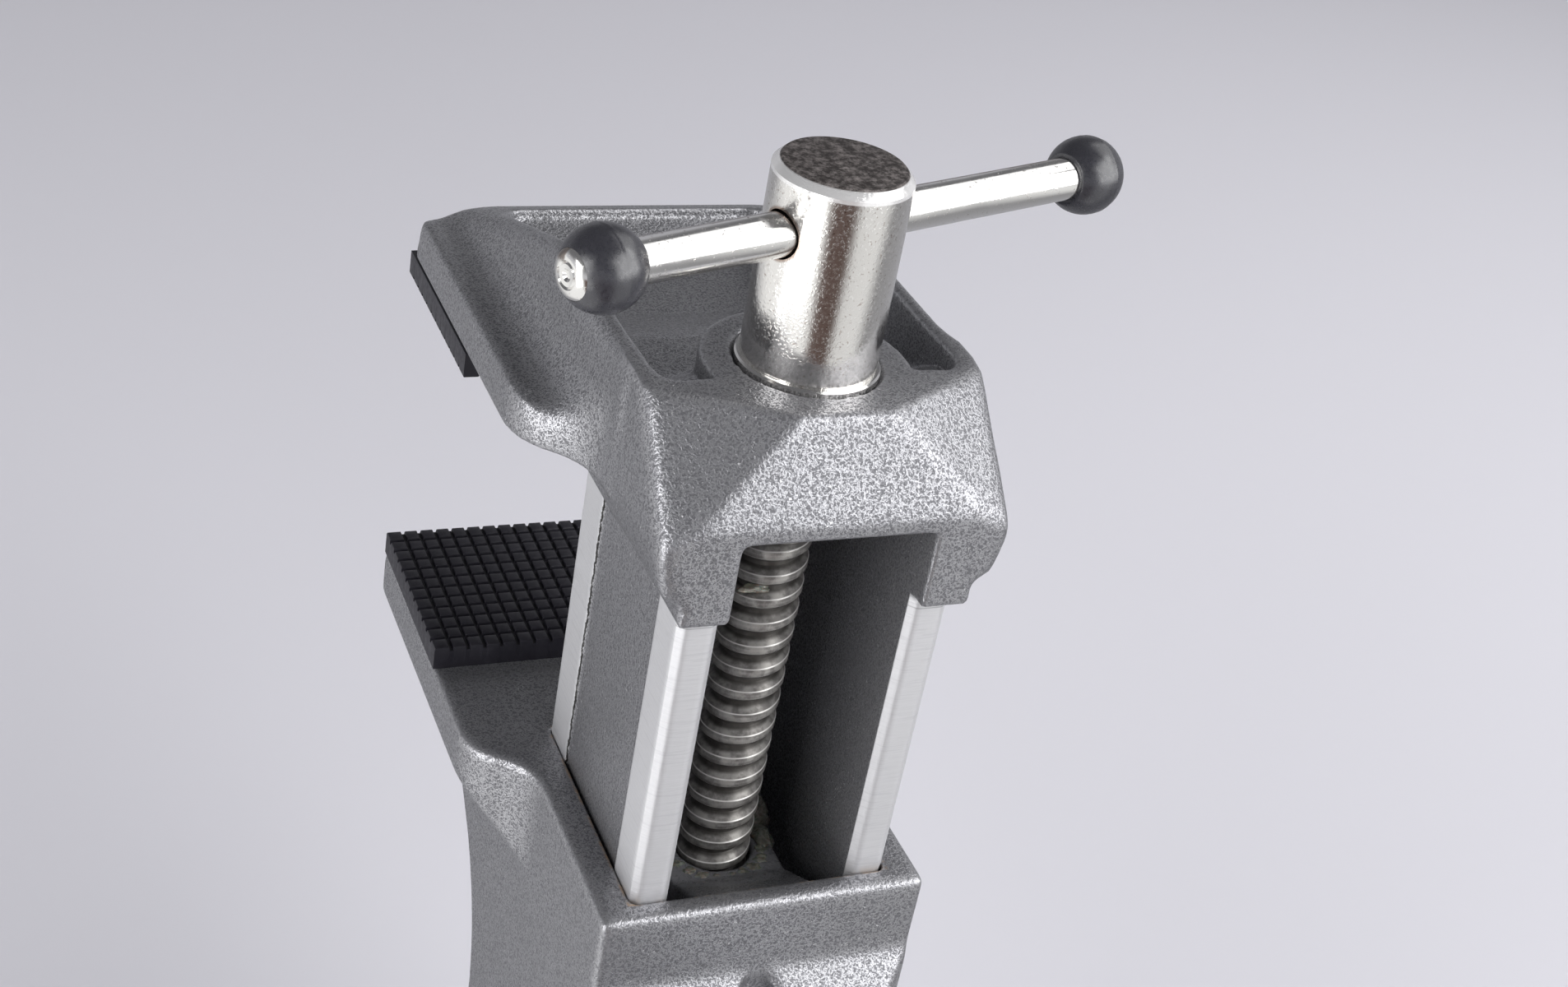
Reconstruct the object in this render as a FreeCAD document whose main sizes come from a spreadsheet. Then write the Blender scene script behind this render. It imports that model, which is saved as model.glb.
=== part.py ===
import FreeCAD, Part
import Sketcher

import math
import operator
import os

# Suction base vise, millimetres, +Z up.
# The origin is the middle of the suction foot, on the table.
# The head is folded over to 90 degrees on its ball joint, so its screw stands upright.
# Head pieces are drawn about the screw axis, with their zero height on the fixed jaw's face.

doc = FreeCAD.newDocument("SuctionBaseVise")

SIZES = {
    # Jaws and pads
    "jaw_width": 75.0,
    "jaw_top": 82.0,
    "jaw_opening": 53.6,
    "plate_thick": 8.6,
    "pad_thick": 4.4,
    "pad_foot": 44.0,
    "pad_height": 37.0,
    "pad_cell": 3.0,
    "pad_groove": 0.7,
    "pad_groove_depth": 0.8,
    "stud_radius": 3.0,
    "stud_length": 3.5,
    "stud_spread": 60.0,
    # Fixed jaw casting
    "body_width": 55.2,
    "body_length": 78.0,
    "socket_wall": 4.0,
    "body_back": 34.6,
    "rim_bevel": 1.8,
    "shoulder_start": 27.0,
    "shoulder_length": 17.0,
    "rib_depth": 12.0,
    "back_step": 34.0,
    "back_reach": 51.0,
    "slide_gap": 0.12,
    # Channel of the moving jaw
    "channel_width": 43.5,
    "channel_front": 19.1,
    "channel_back": 24.7,
    "channel_wall": 6.5,
    "channel_length": 120.4,
    "channel_bevel": 1.2,
    "strip_width": 8.5,
    "strip_proud": 0.4,
    # Moving jaw casting
    "hood_width": 55.6,
    "hood_top": 22.1,
    "hood_front": 22.0,
    "hood_rim_front": 16.0,
    "hood_rim_half": 7.0,
    "hood_rim_side": 5.0,
    "hood_break": 7.1,
    "leg_foot": 8.5,
    "leg_width": 46.4,
    "leg_step": 3.6,
    "leg_flare": 5.0,
    "rim_width": 54.2,
    "rim_run": 40.0,
    "jaw_shoulder_start": 23.0,
    "jaw_shoulder_length": 20.0,
    "jaw_corner": 5.0,
    "jaw_tip": 8.8,
    "valley_width": 67.0,
    "valley_drop": 2.0,
    "valley_rise": 5.0,
    "throat_drop": 5.0,
    "throat_run": 9.0,
    "pocket_wall": 3.2,
    "pocket_front": 4.0,
    "pocket_back": 75.0,
    "pocket_floor": 11.0,
    "pocket_corner": 4.0,
    "boss_radius": 16.0,
    "hollow_top": 4.6,
    # Screw and handle
    "screw_radius": 6.1,
    "screw_root": 4.7,
    "screw_pitch": 4.4,
    "thread_top": 6.0,
    "screw_length": 119.4,
    "screw_gap": 0.35,
    "thread_gap": 0.1,
    "head_radius": 10.2,
    "head_length": 30.4,
    "head_bevel": 1.3,
    "bar_rise": 21.7,
    "washer_radius": 11.4,
    "washer_thick": 1.6,
    "washer_pocket": 1.0,
    "washer_gap": 0.8,
    "collar_radius": 9.5,
    "collar_length": 6.0,
    "pin_radius": 1.5,
    "bar_radius": 3.25,
    "bar_gap": 0.3,
    "bar_span": 92.0,
    "bar_shift": 6.0,
    "bar_turn": 18.0,
    "knob_radius": 6.1,
    "knob_flat": 4.6,
    "bar_tip": 2.6,
    "bar_tip_reach": 0.7,
    # Nut in the fixed jaw
    "nut_block": 20.0,
    "nut_block_front": 8.0,
    "nut_block_tail": 62.0,
    "nut_radius": 8.5,
    "nut_length": 30.0,
    "nut_inset": 2.0,
    # Ball joint
    "ball_height": 104.0,
    "ball_radius": 19.0,
    "ball_gap": 0.3,
    "stem_reach": 67.0,
    "stem_drop": 46.0,
    "neck_radius": 7.5,
    "spigot_depth": 13.0,
    "fit_gap": 0.05,
    "pedestal_height": 11.0,
    "pedestal_radius": 17.0,
    "pedestal_top": 14.0,
    "pedestal_foot": 74.0,
    "set_screw_radius": 3.0,
    "set_screw_length": 9.0,
    # Foot
    "cup_radius": 64.0,
    "cup_height": 8.0,
    "cup_inner": 46.0,
    "web_thick": 3.5,
    "web_gap": 0.3,
    "housing_radius": 60.0,
    "housing_rim": 9.0,
    "housing_wall": 4.5,
    "shoulder_radius": 42.0,
    "shoulder_height": 33.0,
    "shoulder_round": 20.0,
    "post_radius": 28.0,
    "post_foot": 58.0,
    "post_round": 22.0,
    "cavity_radius": 20.0,
    "cavity_foot": 38.0,
    "cavity_top": 62.0,
    "slot_gap": 0.8,
    "ring_foot": 2.0,
    "ring_height": 9.0,
    "ring_screw_radius": 2.0,
    "ring_screw_circle": 23.8,
    "ring_screw_head": 3.1,
    "ring_screw_head_length": 4.0,
    "ring_screw_inset": 0.4,
    "ring_screw_depth": 14.0,
    # Ball lock
    "lock_radius": 5.0,
    "lock_drop": 8.0,
    "lock_boss": 9.5,
    "lock_boss_reach": 42.0,
    "lock_pad_end": 24.0,
    "lock_head": 7.5,
    "lock_head_length": 15.0,
    "lock_stand": 2.5,
    "lock_bar_radius": 2.6,
    "lock_bar_span": 58.0,
    "lock_knob": 5.0,
    "lock_knob_flat": 4.0,
    "lock_tip": 1.9,
    "lock_tip_reach": 0.5,
    # Suction lever
    "shaft_height": 36.0,
    "shaft_radius": 6.0,
    "shaft_left": 54.0,
    "shaft_right": 62.0,
    "cam_radius": 9.3,
    "cam_offset": 3.0,
    "cam_length": 14.0,
    "cam_gap": 0.5,
    "shaft_boss": 15.0,
    "shaft_boss_reach": 49.0,
    "left_boss": 10.0,
    "left_boss_reach": 49.0,
    "spot_gap": 0.4,
    "bush_radius": 12.4,
    "bush_flange": 14.0,
    "bush_flange_thick": 1.5,
    "clip_radius": 8.5,
    "clip_thick": 1.2,
    "clip_groove": 4.9,
    "lever_start": 52.0,
    "lever_hub": 11.0,
    "lever_thick": 9.0,
    "lever_root": 9.0,
    "lever_tip": 6.0,
    "lever_arm": 32.0,
    "grip_core": 4.5,
    "grip_length": 34.0,
    "grip_wall": 2.6,
    "lever_pin_radius": 1.5,
    # Pull stud
    "plate_radius": 22.0,
    "plate_height": 3.0,
    "yoke_width": 10.0,
    "yoke_wall": 3.5,
    "rod_radius": 6.0,
}

sheet = doc.addObject("Spreadsheet::Sheet", "Sizes")
for row, (alias, number) in enumerate(SIZES.items(), start=1):
    sheet.set(f"A{row}", str(number))
    sheet.setAlias(f"A{row}", alias)
doc.recompute()


class Size:
    """A length, with the sheet formula that gives it."""

    SIGNS = {"+": operator.add, "-": operator.sub, "*": operator.mul, "/": operator.truediv}

    def __init__(self, number, formula):
        self.number = float(number)
        self.formula = formula

    def joined(self, sign, other, swapped=False):
        left, right = self, as_size(other)
        if swapped:
            left, right = right, left
        number = Size.SIGNS[sign](left.number, right.number)
        return Size(number, f"({left.formula} {sign} {right.formula})")

    def __add__(self, other):
        return self.joined("+", other)

    def __radd__(self, other):
        return self.joined("+", other, swapped=True)

    def __sub__(self, other):
        return self.joined("-", other)

    def __rsub__(self, other):
        return self.joined("-", other, swapped=True)

    def __mul__(self, other):
        return self.joined("*", other)

    def __rmul__(self, other):
        return self.joined("*", other, swapped=True)

    def __truediv__(self, other):
        return self.joined("/", other)

    def __neg__(self):
        return self.joined("*", -1)

    def __float__(self):
        return self.number


def as_size(value):
    return value if isinstance(value, Size) else Size(value, repr(float(value)))


class Sheet:
    """The sheet's sizes by name."""


S = Sheet()
for alias in SIZES:
    setattr(S, alias, Size(sheet.get(alias), f"Sizes.{alias}"))


def root(size):
    return Size(math.sqrt(size.number), f"sqrt({size.formula})")


def bind(item, path, size):
    """Tie one property of an object to a size."""
    item.setExpression(path, as_size(size).formula)


def place(item, x=0, y=0, z=0):
    """Tie where an object stands to sizes."""
    for axis, size in zip("xyz", (x, y, z)):
        bind(item, f"Placement.Base.{axis}", size)
    return item


# Ways to draw and join

ROTATIONS = {
    "XY": FreeCAD.Rotation(),
    "XZ": FreeCAD.Rotation(FreeCAD.Vector(1, 0, 0), 90),
    "YZ": FreeCAD.Rotation(FreeCAD.Vector(1, 1, 1), 120),
}
NORMALS = {
    "XY": FreeCAD.Vector(0, 0, 1),
    "XZ": FreeCAD.Vector(0, 1, 0),
    "YZ": FreeCAD.Vector(1, 0, 0),
}
ALONG = {
    "X": FreeCAD.Rotation(FreeCAD.Vector(0, 1, 0), 90),
    "Y": FreeCAD.Rotation(FreeCAD.Vector(1, 0, 0), -90),
    "Z": FreeCAD.Rotation(),
}


def arc_between(start, end, radius, side):
    """The short arc from start to end; side is 1 for counterclockwise, -1 for clockwise."""
    chord = end - start
    half = chord.Length / 2
    rise = math.sqrt(max(radius * radius - half * half, 0.0))
    across = FreeCAD.Vector(-chord.y, chord.x, 0).normalize() * (rise * side)
    centre = start + chord * 0.5 + across
    first, last = (start, end) if side > 0 else (end, start)
    angles = [math.atan2(point.y - centre.y, point.x - centre.x) for point in (first, last)]
    circle = Part.Circle(centre, FreeCAD.Vector(0, 0, 1), radius)
    return Part.ArcOfCircle(circle, angles[0], angles[1])


def outline(name, plane, points, body=None):
    """A closed sketch. A point is (x, y), or (x, y, radius, side) where an arc leads to it."""
    if body:
        sketch = body.newObject("Sketcher::SketchObject", name)
        origin_plane = [o for o in body.Origin.OriginFeatures if o.Role == f"{plane}_Plane"]
        sketch.AttachmentSupport = [(origin_plane[0], "")]
        sketch.MapMode = "FlatFace"
    else:
        sketch = doc.addObject("Sketcher::SketchObject", name)
        sketch.Placement = FreeCAD.Placement(FreeCAD.Vector(), ROTATIONS[plane])
    places = [FreeCAD.Vector(float(point[0]), float(point[1]), 0) for point in points]
    ends = []
    for number, point in enumerate(points):
        start, end = places[number - 1], places[number]
        if len(point) == 2:
            sketch.addGeometry(Part.LineSegment(start, end))
            ends.append((1, 2))
            continue
        radius, side = as_size(point[2]), point[3]
        sketch.addGeometry(arc_between(start, end, float(radius), side))
        ends.append((1, 2) if side > 0 else (2, 1))
        rule = sketch.addConstraint(Sketcher.Constraint("Radius", number, float(radius)))
        bind(sketch, f"Constraints[{rule}]", radius)
    for number, point in enumerate(points):
        following = (number + 1) % len(points)
        here = (number, ends[number][1])
        sketch.addConstraint(
            Sketcher.Constraint("Coincident", *here, following, ends[following][0]))
        for kind, axis, size in (("DistanceX", -2, point[0]), ("DistanceY", -1, point[1])):
            if float(size) == 0:
                sketch.addConstraint(Sketcher.Constraint("PointOnObject", *here, axis))
                continue
            rule = sketch.addConstraint(Sketcher.Constraint(kind, -1, 1, *here, float(size)))
            bind(sketch, f"Constraints[{rule}]", size)
    return sketch


def prism(name, plane, points, start, end):
    """An outline drawn out along its plane's normal, from start to end."""
    sketch = outline(name + "Outline", plane, points)
    solid = doc.addObject("Part::Extrusion", name)
    solid.Base = sketch
    solid.DirMode = "Custom"
    solid.Dir = NORMALS[plane]
    solid.Solid = True
    bind(solid, "LengthFwd", end)
    bind(solid, "LengthRev", -as_size(start))
    return solid


def turned(name, points, along="Z"):
    """A piece turned on a lathe: the outline gives radius and height."""
    body = doc.addObject("PartDesign::Body", name)
    sketch = outline(name + "Outline", "XZ", points, body)
    spin = body.newObject("PartDesign::Revolution", name + "Turning")
    spin.Profile = sketch
    spin.ReferenceAxis = (sketch, ["V_Axis"])
    spin.Angle = 360
    body.Placement.Rotation = ALONG[along]
    return body


def rod(name, radius, length, x=0, y=0, z=0, along="Z"):
    solid = doc.addObject("Part::Cylinder", name)
    solid.Placement.Rotation = ALONG[along]
    bind(solid, "Radius", radius)
    bind(solid, "Height", length)
    return place(solid, x, y, z)


def block(name, low, high):
    """A box between two corners."""
    solid = doc.addObject("Part::Box", name)
    for side, first, last in zip(("Length", "Width", "Height"), low, high):
        bind(solid, side, as_size(last) - first)
    return place(solid, *low)


def globe(name, radius, x=0, y=0, z=0):
    solid = doc.addObject("Part::Sphere", name)
    bind(solid, "Radius", radius)
    return place(solid, x, y, z)


def fused(name, *pieces):
    solid = doc.addObject("Part::MultiFuse", name)
    solid.Shapes = list(pieces)
    return solid


def shared(name, *pieces):
    solid = doc.addObject("Part::MultiCommon", name)
    solid.Shapes = list(pieces)
    return solid


def cut(name, piece, *tools):
    solid = doc.addObject("Part::Cut", name)
    solid.Base = piece
    solid.Tool = tools[0] if len(tools) == 1 else fused(name + "Tools", *tools)
    return solid


def mirrored(points):
    """Right-hand points from bottom to top, closed over by the same points on the left."""
    left = []
    for number in range(len(points) - 1, -1, -1):
        x, y = points[number][:2]
        lead = points[number + 1] if number + 1 < len(points) else ()
        left.append((-as_size(x), y) + tuple(lead[2:]))
    return list(points) + left


def s_curve(low_x, low_y, high_x, high_y):
    """Two equal arcs that step sideways from one upright line to another."""
    aside = high_x - low_x
    ahead = high_y - low_y
    radius = (aside * aside + ahead * ahead) / (4 * aside)
    return [
        ((low_x + high_x) / 2, (low_y + high_y) / 2, radius, -1),
        (high_x, high_y, radius, 1),
    ]


nodes = []


def node(piece, label):
    """Name a finished piece and keep it for the hand-over."""
    piece.Label = label
    nodes.append(piece)
    return piece


# Places that several pieces share, from the screw axis and the fixed jaw's face
jaw_half = S.jaw_width / 2
body_half = S.body_width / 2
body_front = S.channel_front + S.slide_gap + S.socket_wall
stem_front = body_front + S.pedestal_height
head_height = S.ball_height + S.stem_drop
seat_height = head_height + S.pad_thick * 2 + S.jaw_opening
pad_middle = S.pad_foot + S.pad_height / 2
stud_hole = S.stud_radius + S.fit_gap
spigot_start = S.stem_reach - stem_front
spigot_end = spigot_start + S.spigot_depth


def place_on_fixed_jaw(piece):
    return place(piece, 0, S.stem_reach, head_height)


def place_on_moving_jaw(piece):
    return place(piece, 0, S.stem_reach, seat_height)


# Fixed jaw: one casting with the jaw, the square socket, the nut block and the stem pedestal

jaw_shoulder = s_curve(body_half, S.shoulder_start - S.shoulder_length, jaw_half, S.shoulder_start)
fixed_plan = mirrored(
    [(body_half, -body_front), (body_half, S.shoulder_start - S.shoulder_length)]
    + jaw_shoulder
    + [(jaw_half, S.jaw_top)])
rib_foot = -(S.plate_thick + S.rib_depth)
fixed_section = [
    (body_half, rib_foot), (jaw_half, -S.plate_thick), (jaw_half, 0),
    (-jaw_half, 0), (-jaw_half, -S.plate_thick), (-body_half, rib_foot)]
jaw_plate = shared(
    "FixedPlate",
    prism("FixedPlan", "XY", fixed_plan, rib_foot, 0),
    prism("FixedSection", "XZ", fixed_section, -body_front, S.jaw_top))
back_foot = -(S.body_length - 6)
body_side = [
    (-body_front, -S.rim_bevel), (-body_front, -S.body_length), (S.body_back, -S.body_length),
    (S.body_back, back_foot), (S.back_reach, -S.back_step, 46, -1),
    (S.jaw_top, -S.plate_thick), (S.jaw_top, 0), (S.rim_bevel - body_front, 0)]
body_block = prism("FixedBody", "YZ", body_side, -body_half, body_half)

pedestal_middle = -S.stem_drop
pedestal_wide = outline(
    "PedestalWide", "XZ",
    [(body_half, -S.pedestal_foot), (body_half, -S.pedestal_top),
     (-body_half, -S.pedestal_top), (-body_half, -S.pedestal_foot)])
pedestal_narrow = outline(
    "PedestalNarrow", "XZ",
    [(S.pedestal_radius, pedestal_middle - S.pedestal_radius),
     (S.pedestal_radius, pedestal_middle + S.pedestal_radius),
     (-S.pedestal_radius, pedestal_middle + S.pedestal_radius),
     (-S.pedestal_radius, pedestal_middle - S.pedestal_radius)])
place(pedestal_wide, 0, -body_front, 0)
place(pedestal_narrow, 0, -stem_front, 0)
pedestal = doc.addObject("Part::Loft", "Pedestal")
pedestal.Sections = [pedestal_wide, pedestal_narrow]
pedestal.Solid = True
pedestal.Ruled = True
notch = prism(
    "PedestalNotch", "XZ",
    [(0, 1.5 - S.pedestal_top), (-8, -12 - S.pedestal_top), (8, -12 - S.pedestal_top)],
    -stem_front - 1, -body_front)

socket_half = S.channel_width / 2 + S.slide_gap
socket_low = -(S.channel_front + S.slide_gap)
socket_high = S.channel_back + S.slide_gap
socket = block("Socket", (-socket_half, socket_low, -S.body_length - 1), (socket_half, socket_high, 1))
nut_half = S.nut_block / 2
nut_outline = [
    (-nut_half, socket_low - 1), (nut_half, socket_low - 1), (nut_half, 0),
    (0, nut_half, nut_half, 1), (-nut_half, 0, nut_half, 1)]
nut_column = prism("NutColumn", "XY", nut_outline, -S.nut_block_tail, -1.5)
nut_slope = prism(
    "NutSlope", "YZ",
    [(socket_low - 2, 0), (socket_low, -1.5), (-S.nut_block_front, -S.nut_block_front),
     (nut_half + 1, -S.nut_block_front), (nut_half + 1, 1), (socket_low - 2, 1)],
    -nut_half - 1, nut_half + 1)
nut_carrier = cut("NutCarrier", nut_column, nut_slope)
screw_hole = S.screw_radius + S.screw_gap
nut_top = -(S.nut_block_front + S.nut_inset)
fixed_cuts = [
    rod("ScrewPassage", screw_hole, S.body_length, 0, 0, -S.body_length),
    rod("NutBore", S.nut_radius + S.fit_gap, S.body_length + nut_top, 0, 0, -S.body_length),
    rod("SpigotBore", S.neck_radius + S.fit_gap, S.spigot_depth + 0.2 + 1,
        0, -stem_front - 1, pedestal_middle, "Y"),
    rod("SetScrewHole", S.set_screw_radius + S.fit_gap, S.pedestal_radius + 12,
        0, -body_front - 4, pedestal_middle, "X"),
    notch,
]
for side in (-1, 1):
    fixed_cuts.append(
        rod(f"FixedStudHole{side + 2}", stud_hole, S.stud_length + 0.3,
            S.stud_spread / 2 * side, pad_middle, -(S.stud_length + 0.3)))
fixed_shell = cut("FixedShell", fused("FixedSolid", jaw_plate, body_block, pedestal), socket)
fixed_jaw = cut("FixedJaw", fused("FixedFilled", fixed_shell, nut_carrier), *fixed_cuts)
place_on_fixed_jaw(node(fixed_jaw, "fixed_jaw"))


# Rubber pads: a grid of square cells, with two moulded studs behind each

pad_back = S.pad_foot + S.pad_height
pad_face = S.pad_groove_depth - S.pad_thick
pad_slab = block("PadSlab", (-jaw_half, S.pad_foot, -S.pad_thick), (jaw_half, pad_back, 0))
pad_studs = [
    rod(f"PadStud{side + 2}", S.stud_radius, S.stud_length + 1, S.stud_spread / 2 * side, pad_middle, -1)
    for side in (-1, 1)]
pad_columns = round(float(S.jaw_width / S.pad_cell))
pad_rows = round(float(S.pad_height / S.pad_cell))
column_grooves = []
for column in range(1, pad_columns):
    middle = S.jaw_width / pad_columns * column - jaw_half
    column_grooves.append(block(
        f"PadColumn{column}", (middle - S.pad_groove / 2, S.pad_foot - 1, -S.pad_thick - 1),
        (middle + S.pad_groove / 2, pad_back + 1, pad_face)))
row_grooves = []
for row in range(1, pad_rows):
    middle = S.pad_foot + S.pad_height / pad_rows * row
    row_grooves.append(block(
        f"PadRow{row}", (-jaw_half - 1, middle - S.pad_groove / 2, -S.pad_thick - 1),
        (jaw_half + 1, middle + S.pad_groove / 2, pad_face)))
pad_space = block("PadSpace", (-jaw_half, S.pad_foot, -S.pad_thick),
                  (jaw_half, pad_back, S.stud_length + 1))
moving_pad = shared(
    "MovingPad",
    cut("PadColumns", fused("PadSolid", pad_slab, *pad_studs), *column_grooves),
    cut("PadRows", pad_space, *row_grooves))
place_on_moving_jaw(node(moving_pad, "moving_jaw_pad"))

# The fixed jaw's pad is the same moulding, mirrored in the middle of the opening
fixed_pad = doc.addObject("Part::Mirroring", "FixedPad")
fixed_pad.Source = moving_pad
fixed_pad.Normal = FreeCAD.Vector(0, 0, 1)
bind(fixed_pad, "Base.z", head_height + S.pad_thick + S.jaw_opening / 2)
node(fixed_pad, "fixed_jaw_pad")


# Moving jaw: one casting with the U-shaped channel, the hood over its top and the jaw

channel_half = S.channel_width / 2
hollow_half = channel_half - S.channel_wall
hollow_back = S.channel_back - S.channel_wall
strip_side = channel_half - S.strip_proud
strip_back = S.channel_back - S.strip_proud
channel_right = [
    (hollow_half, hollow_back), (hollow_half, S.channel_bevel - S.channel_front),
    (hollow_half + S.channel_bevel, -S.channel_front),
    (channel_half - S.channel_bevel, -S.channel_front),
    (channel_half, S.channel_bevel - S.channel_front),
    (channel_half, S.strip_width - S.channel_front), (strip_side, S.strip_width - S.channel_front),
    (strip_side, S.channel_back - S.strip_width), (channel_half, S.channel_back - S.strip_width),
    (channel_half, S.channel_back), (channel_half - S.strip_width, S.channel_back),
    (channel_half - S.strip_width, strip_back)]
channel = prism("Channel", "XY", mirrored(channel_right), -S.channel_length, S.hollow_top)

hood_half = S.hood_width / 2
rim_half = S.rim_width / 2
leg_half = S.leg_width / 2
hood_section = mirrored([
    (leg_half, -S.leg_foot), (leg_half, S.leg_step - S.leg_foot),
    (leg_half + (hood_half - leg_half) * 0.7, S.leg_flare - S.leg_foot),
    (hood_half, S.hood_break / 2), (rim_half, S.hood_top)])
hood_back = S.channel_back + S.throat_run
hood_profile = [
    (-S.hood_front, -S.leg_foot), (S.channel_back + 0.8, -S.leg_foot),
    (S.channel_back + 1.8, -S.throat_drop), (hood_back, 0), (hood_back, S.hood_top),
    (-S.hood_rim_front, S.hood_top), (-S.hood_front, S.hood_break)]
hood = shared(
    "Hood",
    prism("HoodSection", "XZ", hood_section, -S.hood_front, hood_back),
    prism("HoodProfile", "YZ", hood_profile, -hood_half, hood_half))

valley_half = S.valley_width / 2
jaw_section = mirrored([
    (jaw_half, 0), (jaw_half, S.plate_thick - 0.3), (valley_half, S.plate_thick - 0.3 - S.valley_drop),
    (valley_half - 3, S.plate_thick - 0.3), (rim_half + 1.1, S.plate_thick + S.valley_rise - 1),
    (rim_half, S.hood_top)])
jaw_profile = [
    (0, 0), (S.jaw_top, 0), (S.jaw_top, S.jaw_tip - 1.5), (S.jaw_top - 2, S.jaw_tip),
    (S.rim_run, S.hood_top), (0, S.hood_top)]
corner = S.jaw_corner
moving_plan = mirrored(
    [(hood_half, 0), (hood_half, S.jaw_shoulder_start - S.jaw_shoulder_length)]
    + s_curve(hood_half, S.jaw_shoulder_start - S.jaw_shoulder_length, jaw_half, S.jaw_shoulder_start)
    + [(jaw_half, S.jaw_top - corner), (jaw_half - corner, S.jaw_top, corner, 1)])
jaw_block = shared(
    "JawBlock",
    prism("JawSection", "XZ", jaw_section, 0, S.jaw_top),
    prism("JawProfile", "YZ", jaw_profile, -jaw_half, jaw_half),
    prism("JawPlan", "XY", moving_plan, 0, S.hood_top))


def corner_facet(side):
    """The slanted plane that takes off one front corner of the hood."""
    near = FreeCAD.Vector(side * float(S.hood_rim_half), -float(S.hood_rim_front), float(S.hood_top))
    low = FreeCAD.Vector(side * float(leg_half), -float(S.hood_front), float(S.hood_break))
    far = FreeCAD.Vector(side * float(rim_half), -float(S.hood_rim_side), float(S.hood_top))
    outward = (low - near).cross(far - near).normalize() * side
    size = float(S.jaw_width)
    facet = doc.addObject("Part::Box", f"CornerFacet{side + 2}")
    bind(facet, "Length", S.jaw_width)
    bind(facet, "Width", S.jaw_width)
    bind(facet, "Height", S.jaw_width)
    turn = FreeCAD.Rotation(FreeCAD.Vector(0, 0, 1), outward)
    middle = turn.multVec(FreeCAD.Vector(size / 2, size / 2, 0))
    facet.Placement = FreeCAD.Placement(near - middle, turn)
    return facet


pocket_half = rim_half - S.pocket_wall
pocket_plan = mirrored([
    (pocket_half - S.pocket_corner, -S.pocket_front),
    (pocket_half, S.pocket_corner - S.pocket_front, S.pocket_corner, 1),
    (pocket_half, S.pocket_back - S.pocket_corner),
    (pocket_half - S.pocket_corner, S.pocket_back, S.pocket_corner, 1)])
pocket_deep = S.stud_length + 1.7
pocket_profile = [
    (-S.pocket_front - 1, S.pocket_floor), (S.channel_back + 3.3, S.pocket_floor),
    (S.channel_back + 21.3, pocket_deep), (S.pocket_back - 11, pocket_deep),
    (S.pocket_back, S.plate_thick), (S.pocket_back + 1, S.hood_top + 5),
    (-S.pocket_front - 1, S.hood_top + 5)]
pocket = cut(
    "Pocket",
    shared("PocketSpace",
           prism("PocketPlan", "XY", pocket_plan, S.stud_length, S.hood_top + 3),
           prism("PocketProfile", "YZ", pocket_profile, -rim_half, rim_half)),
    rod("BossCore", S.boss_radius, S.hood_top))
washer_seat = S.hood_top - S.washer_pocket
moving_cuts = [
    corner_facet(-1), corner_facet(1), pocket,
    block("Hollow", (-hollow_half, -S.hood_front - 1, -S.channel_length - 1),
          (hollow_half, hollow_back, S.hollow_top)),
    rod("ScrewBore", screw_hole, S.hood_top, 0, 0, 1),
    rod("WasherPocket", S.washer_radius + S.washer_gap, S.washer_pocket + 3, 0, 0, washer_seat)]
for side in (-1, 1):
    moving_cuts.append(
        rod(f"MovingStudHole{side + 2}", stud_hole, S.stud_length + 0.3 + 1,
            S.stud_spread / 2 * side, pad_middle, -1))
moving_jaw = cut("MovingJaw", fused("MovingSolid", channel, hood, jaw_block), *moving_cuts)
place_on_moving_jaw(node(moving_jaw, "moving_jaw"))


# Screw nut: a threaded steel bush in the bore of the nut block

nut_bore = S.screw_radius + S.thread_gap
screw_nut = turned("ScrewNut", [
    (nut_bore, nut_top - S.nut_length), (S.nut_radius, nut_top - S.nut_length),
    (S.nut_radius, nut_top), (nut_bore, nut_top)])
place_on_fixed_jaw(node(screw_nut, "screw_nut"))


# Jaw screw: turned from one bar, with a thread, a plain neck and a cross-bored head

washer_top = washer_seat + S.washer_thick
head_top = washer_top + S.head_length
bar_height = S.hood_top + S.bar_rise
screw_blank = turned("ScrewBlank", [
    (0, -S.screw_length), (S.screw_root, -S.screw_length), (S.screw_radius, 1.4 - S.screw_length),
    (S.screw_radius, washer_top), (S.head_radius, washer_top),
    (S.head_radius, head_top - S.head_bevel), (S.head_radius - S.head_bevel, head_top), (0, head_top)])
groove_count = int(float((S.screw_length - S.thread_top) / S.screw_pitch))
groove_low = S.screw_pitch * 0.28
groove_sketch = outline("ThreadGroove", "XZ", [
    (S.screw_root, 3 - S.screw_length), (S.screw_radius + 1, 3 - groove_low - S.screw_length),
    (S.screw_radius + 1, 3 + groove_low * 2 - S.screw_length),
    (S.screw_root, 3 + groove_low - S.screw_length)], screw_blank)
groove = screw_blank.newObject("PartDesign::Groove", "Groove")
groove.Profile = groove_sketch
groove.ReferenceAxis = (groove_sketch, ["V_Axis"])
groove.Angle = 360
thread = screw_blank.newObject("PartDesign::LinearPattern", "Thread")
thread.Originals = [groove]
thread.Direction = (groove_sketch, ["V_Axis"])
thread.Occurrences = groove_count
bind(thread, "Length", S.screw_pitch * (groove_count - 1))
screw_blank.Tip = thread
bar_cosine = math.cos(math.radians(float(S.bar_turn)))
bar_sine = math.sin(math.radians(float(S.bar_turn)))


def laid(piece, turn):
    """Lay an upright piece flat, so that it points turn degrees round from +X."""
    turning = FreeCAD.Rotation(FreeCAD.Vector(0, 0, 1), float(turn))
    piece.Placement.Rotation = turning.multiply(ALONG["X"])
    return piece


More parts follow.
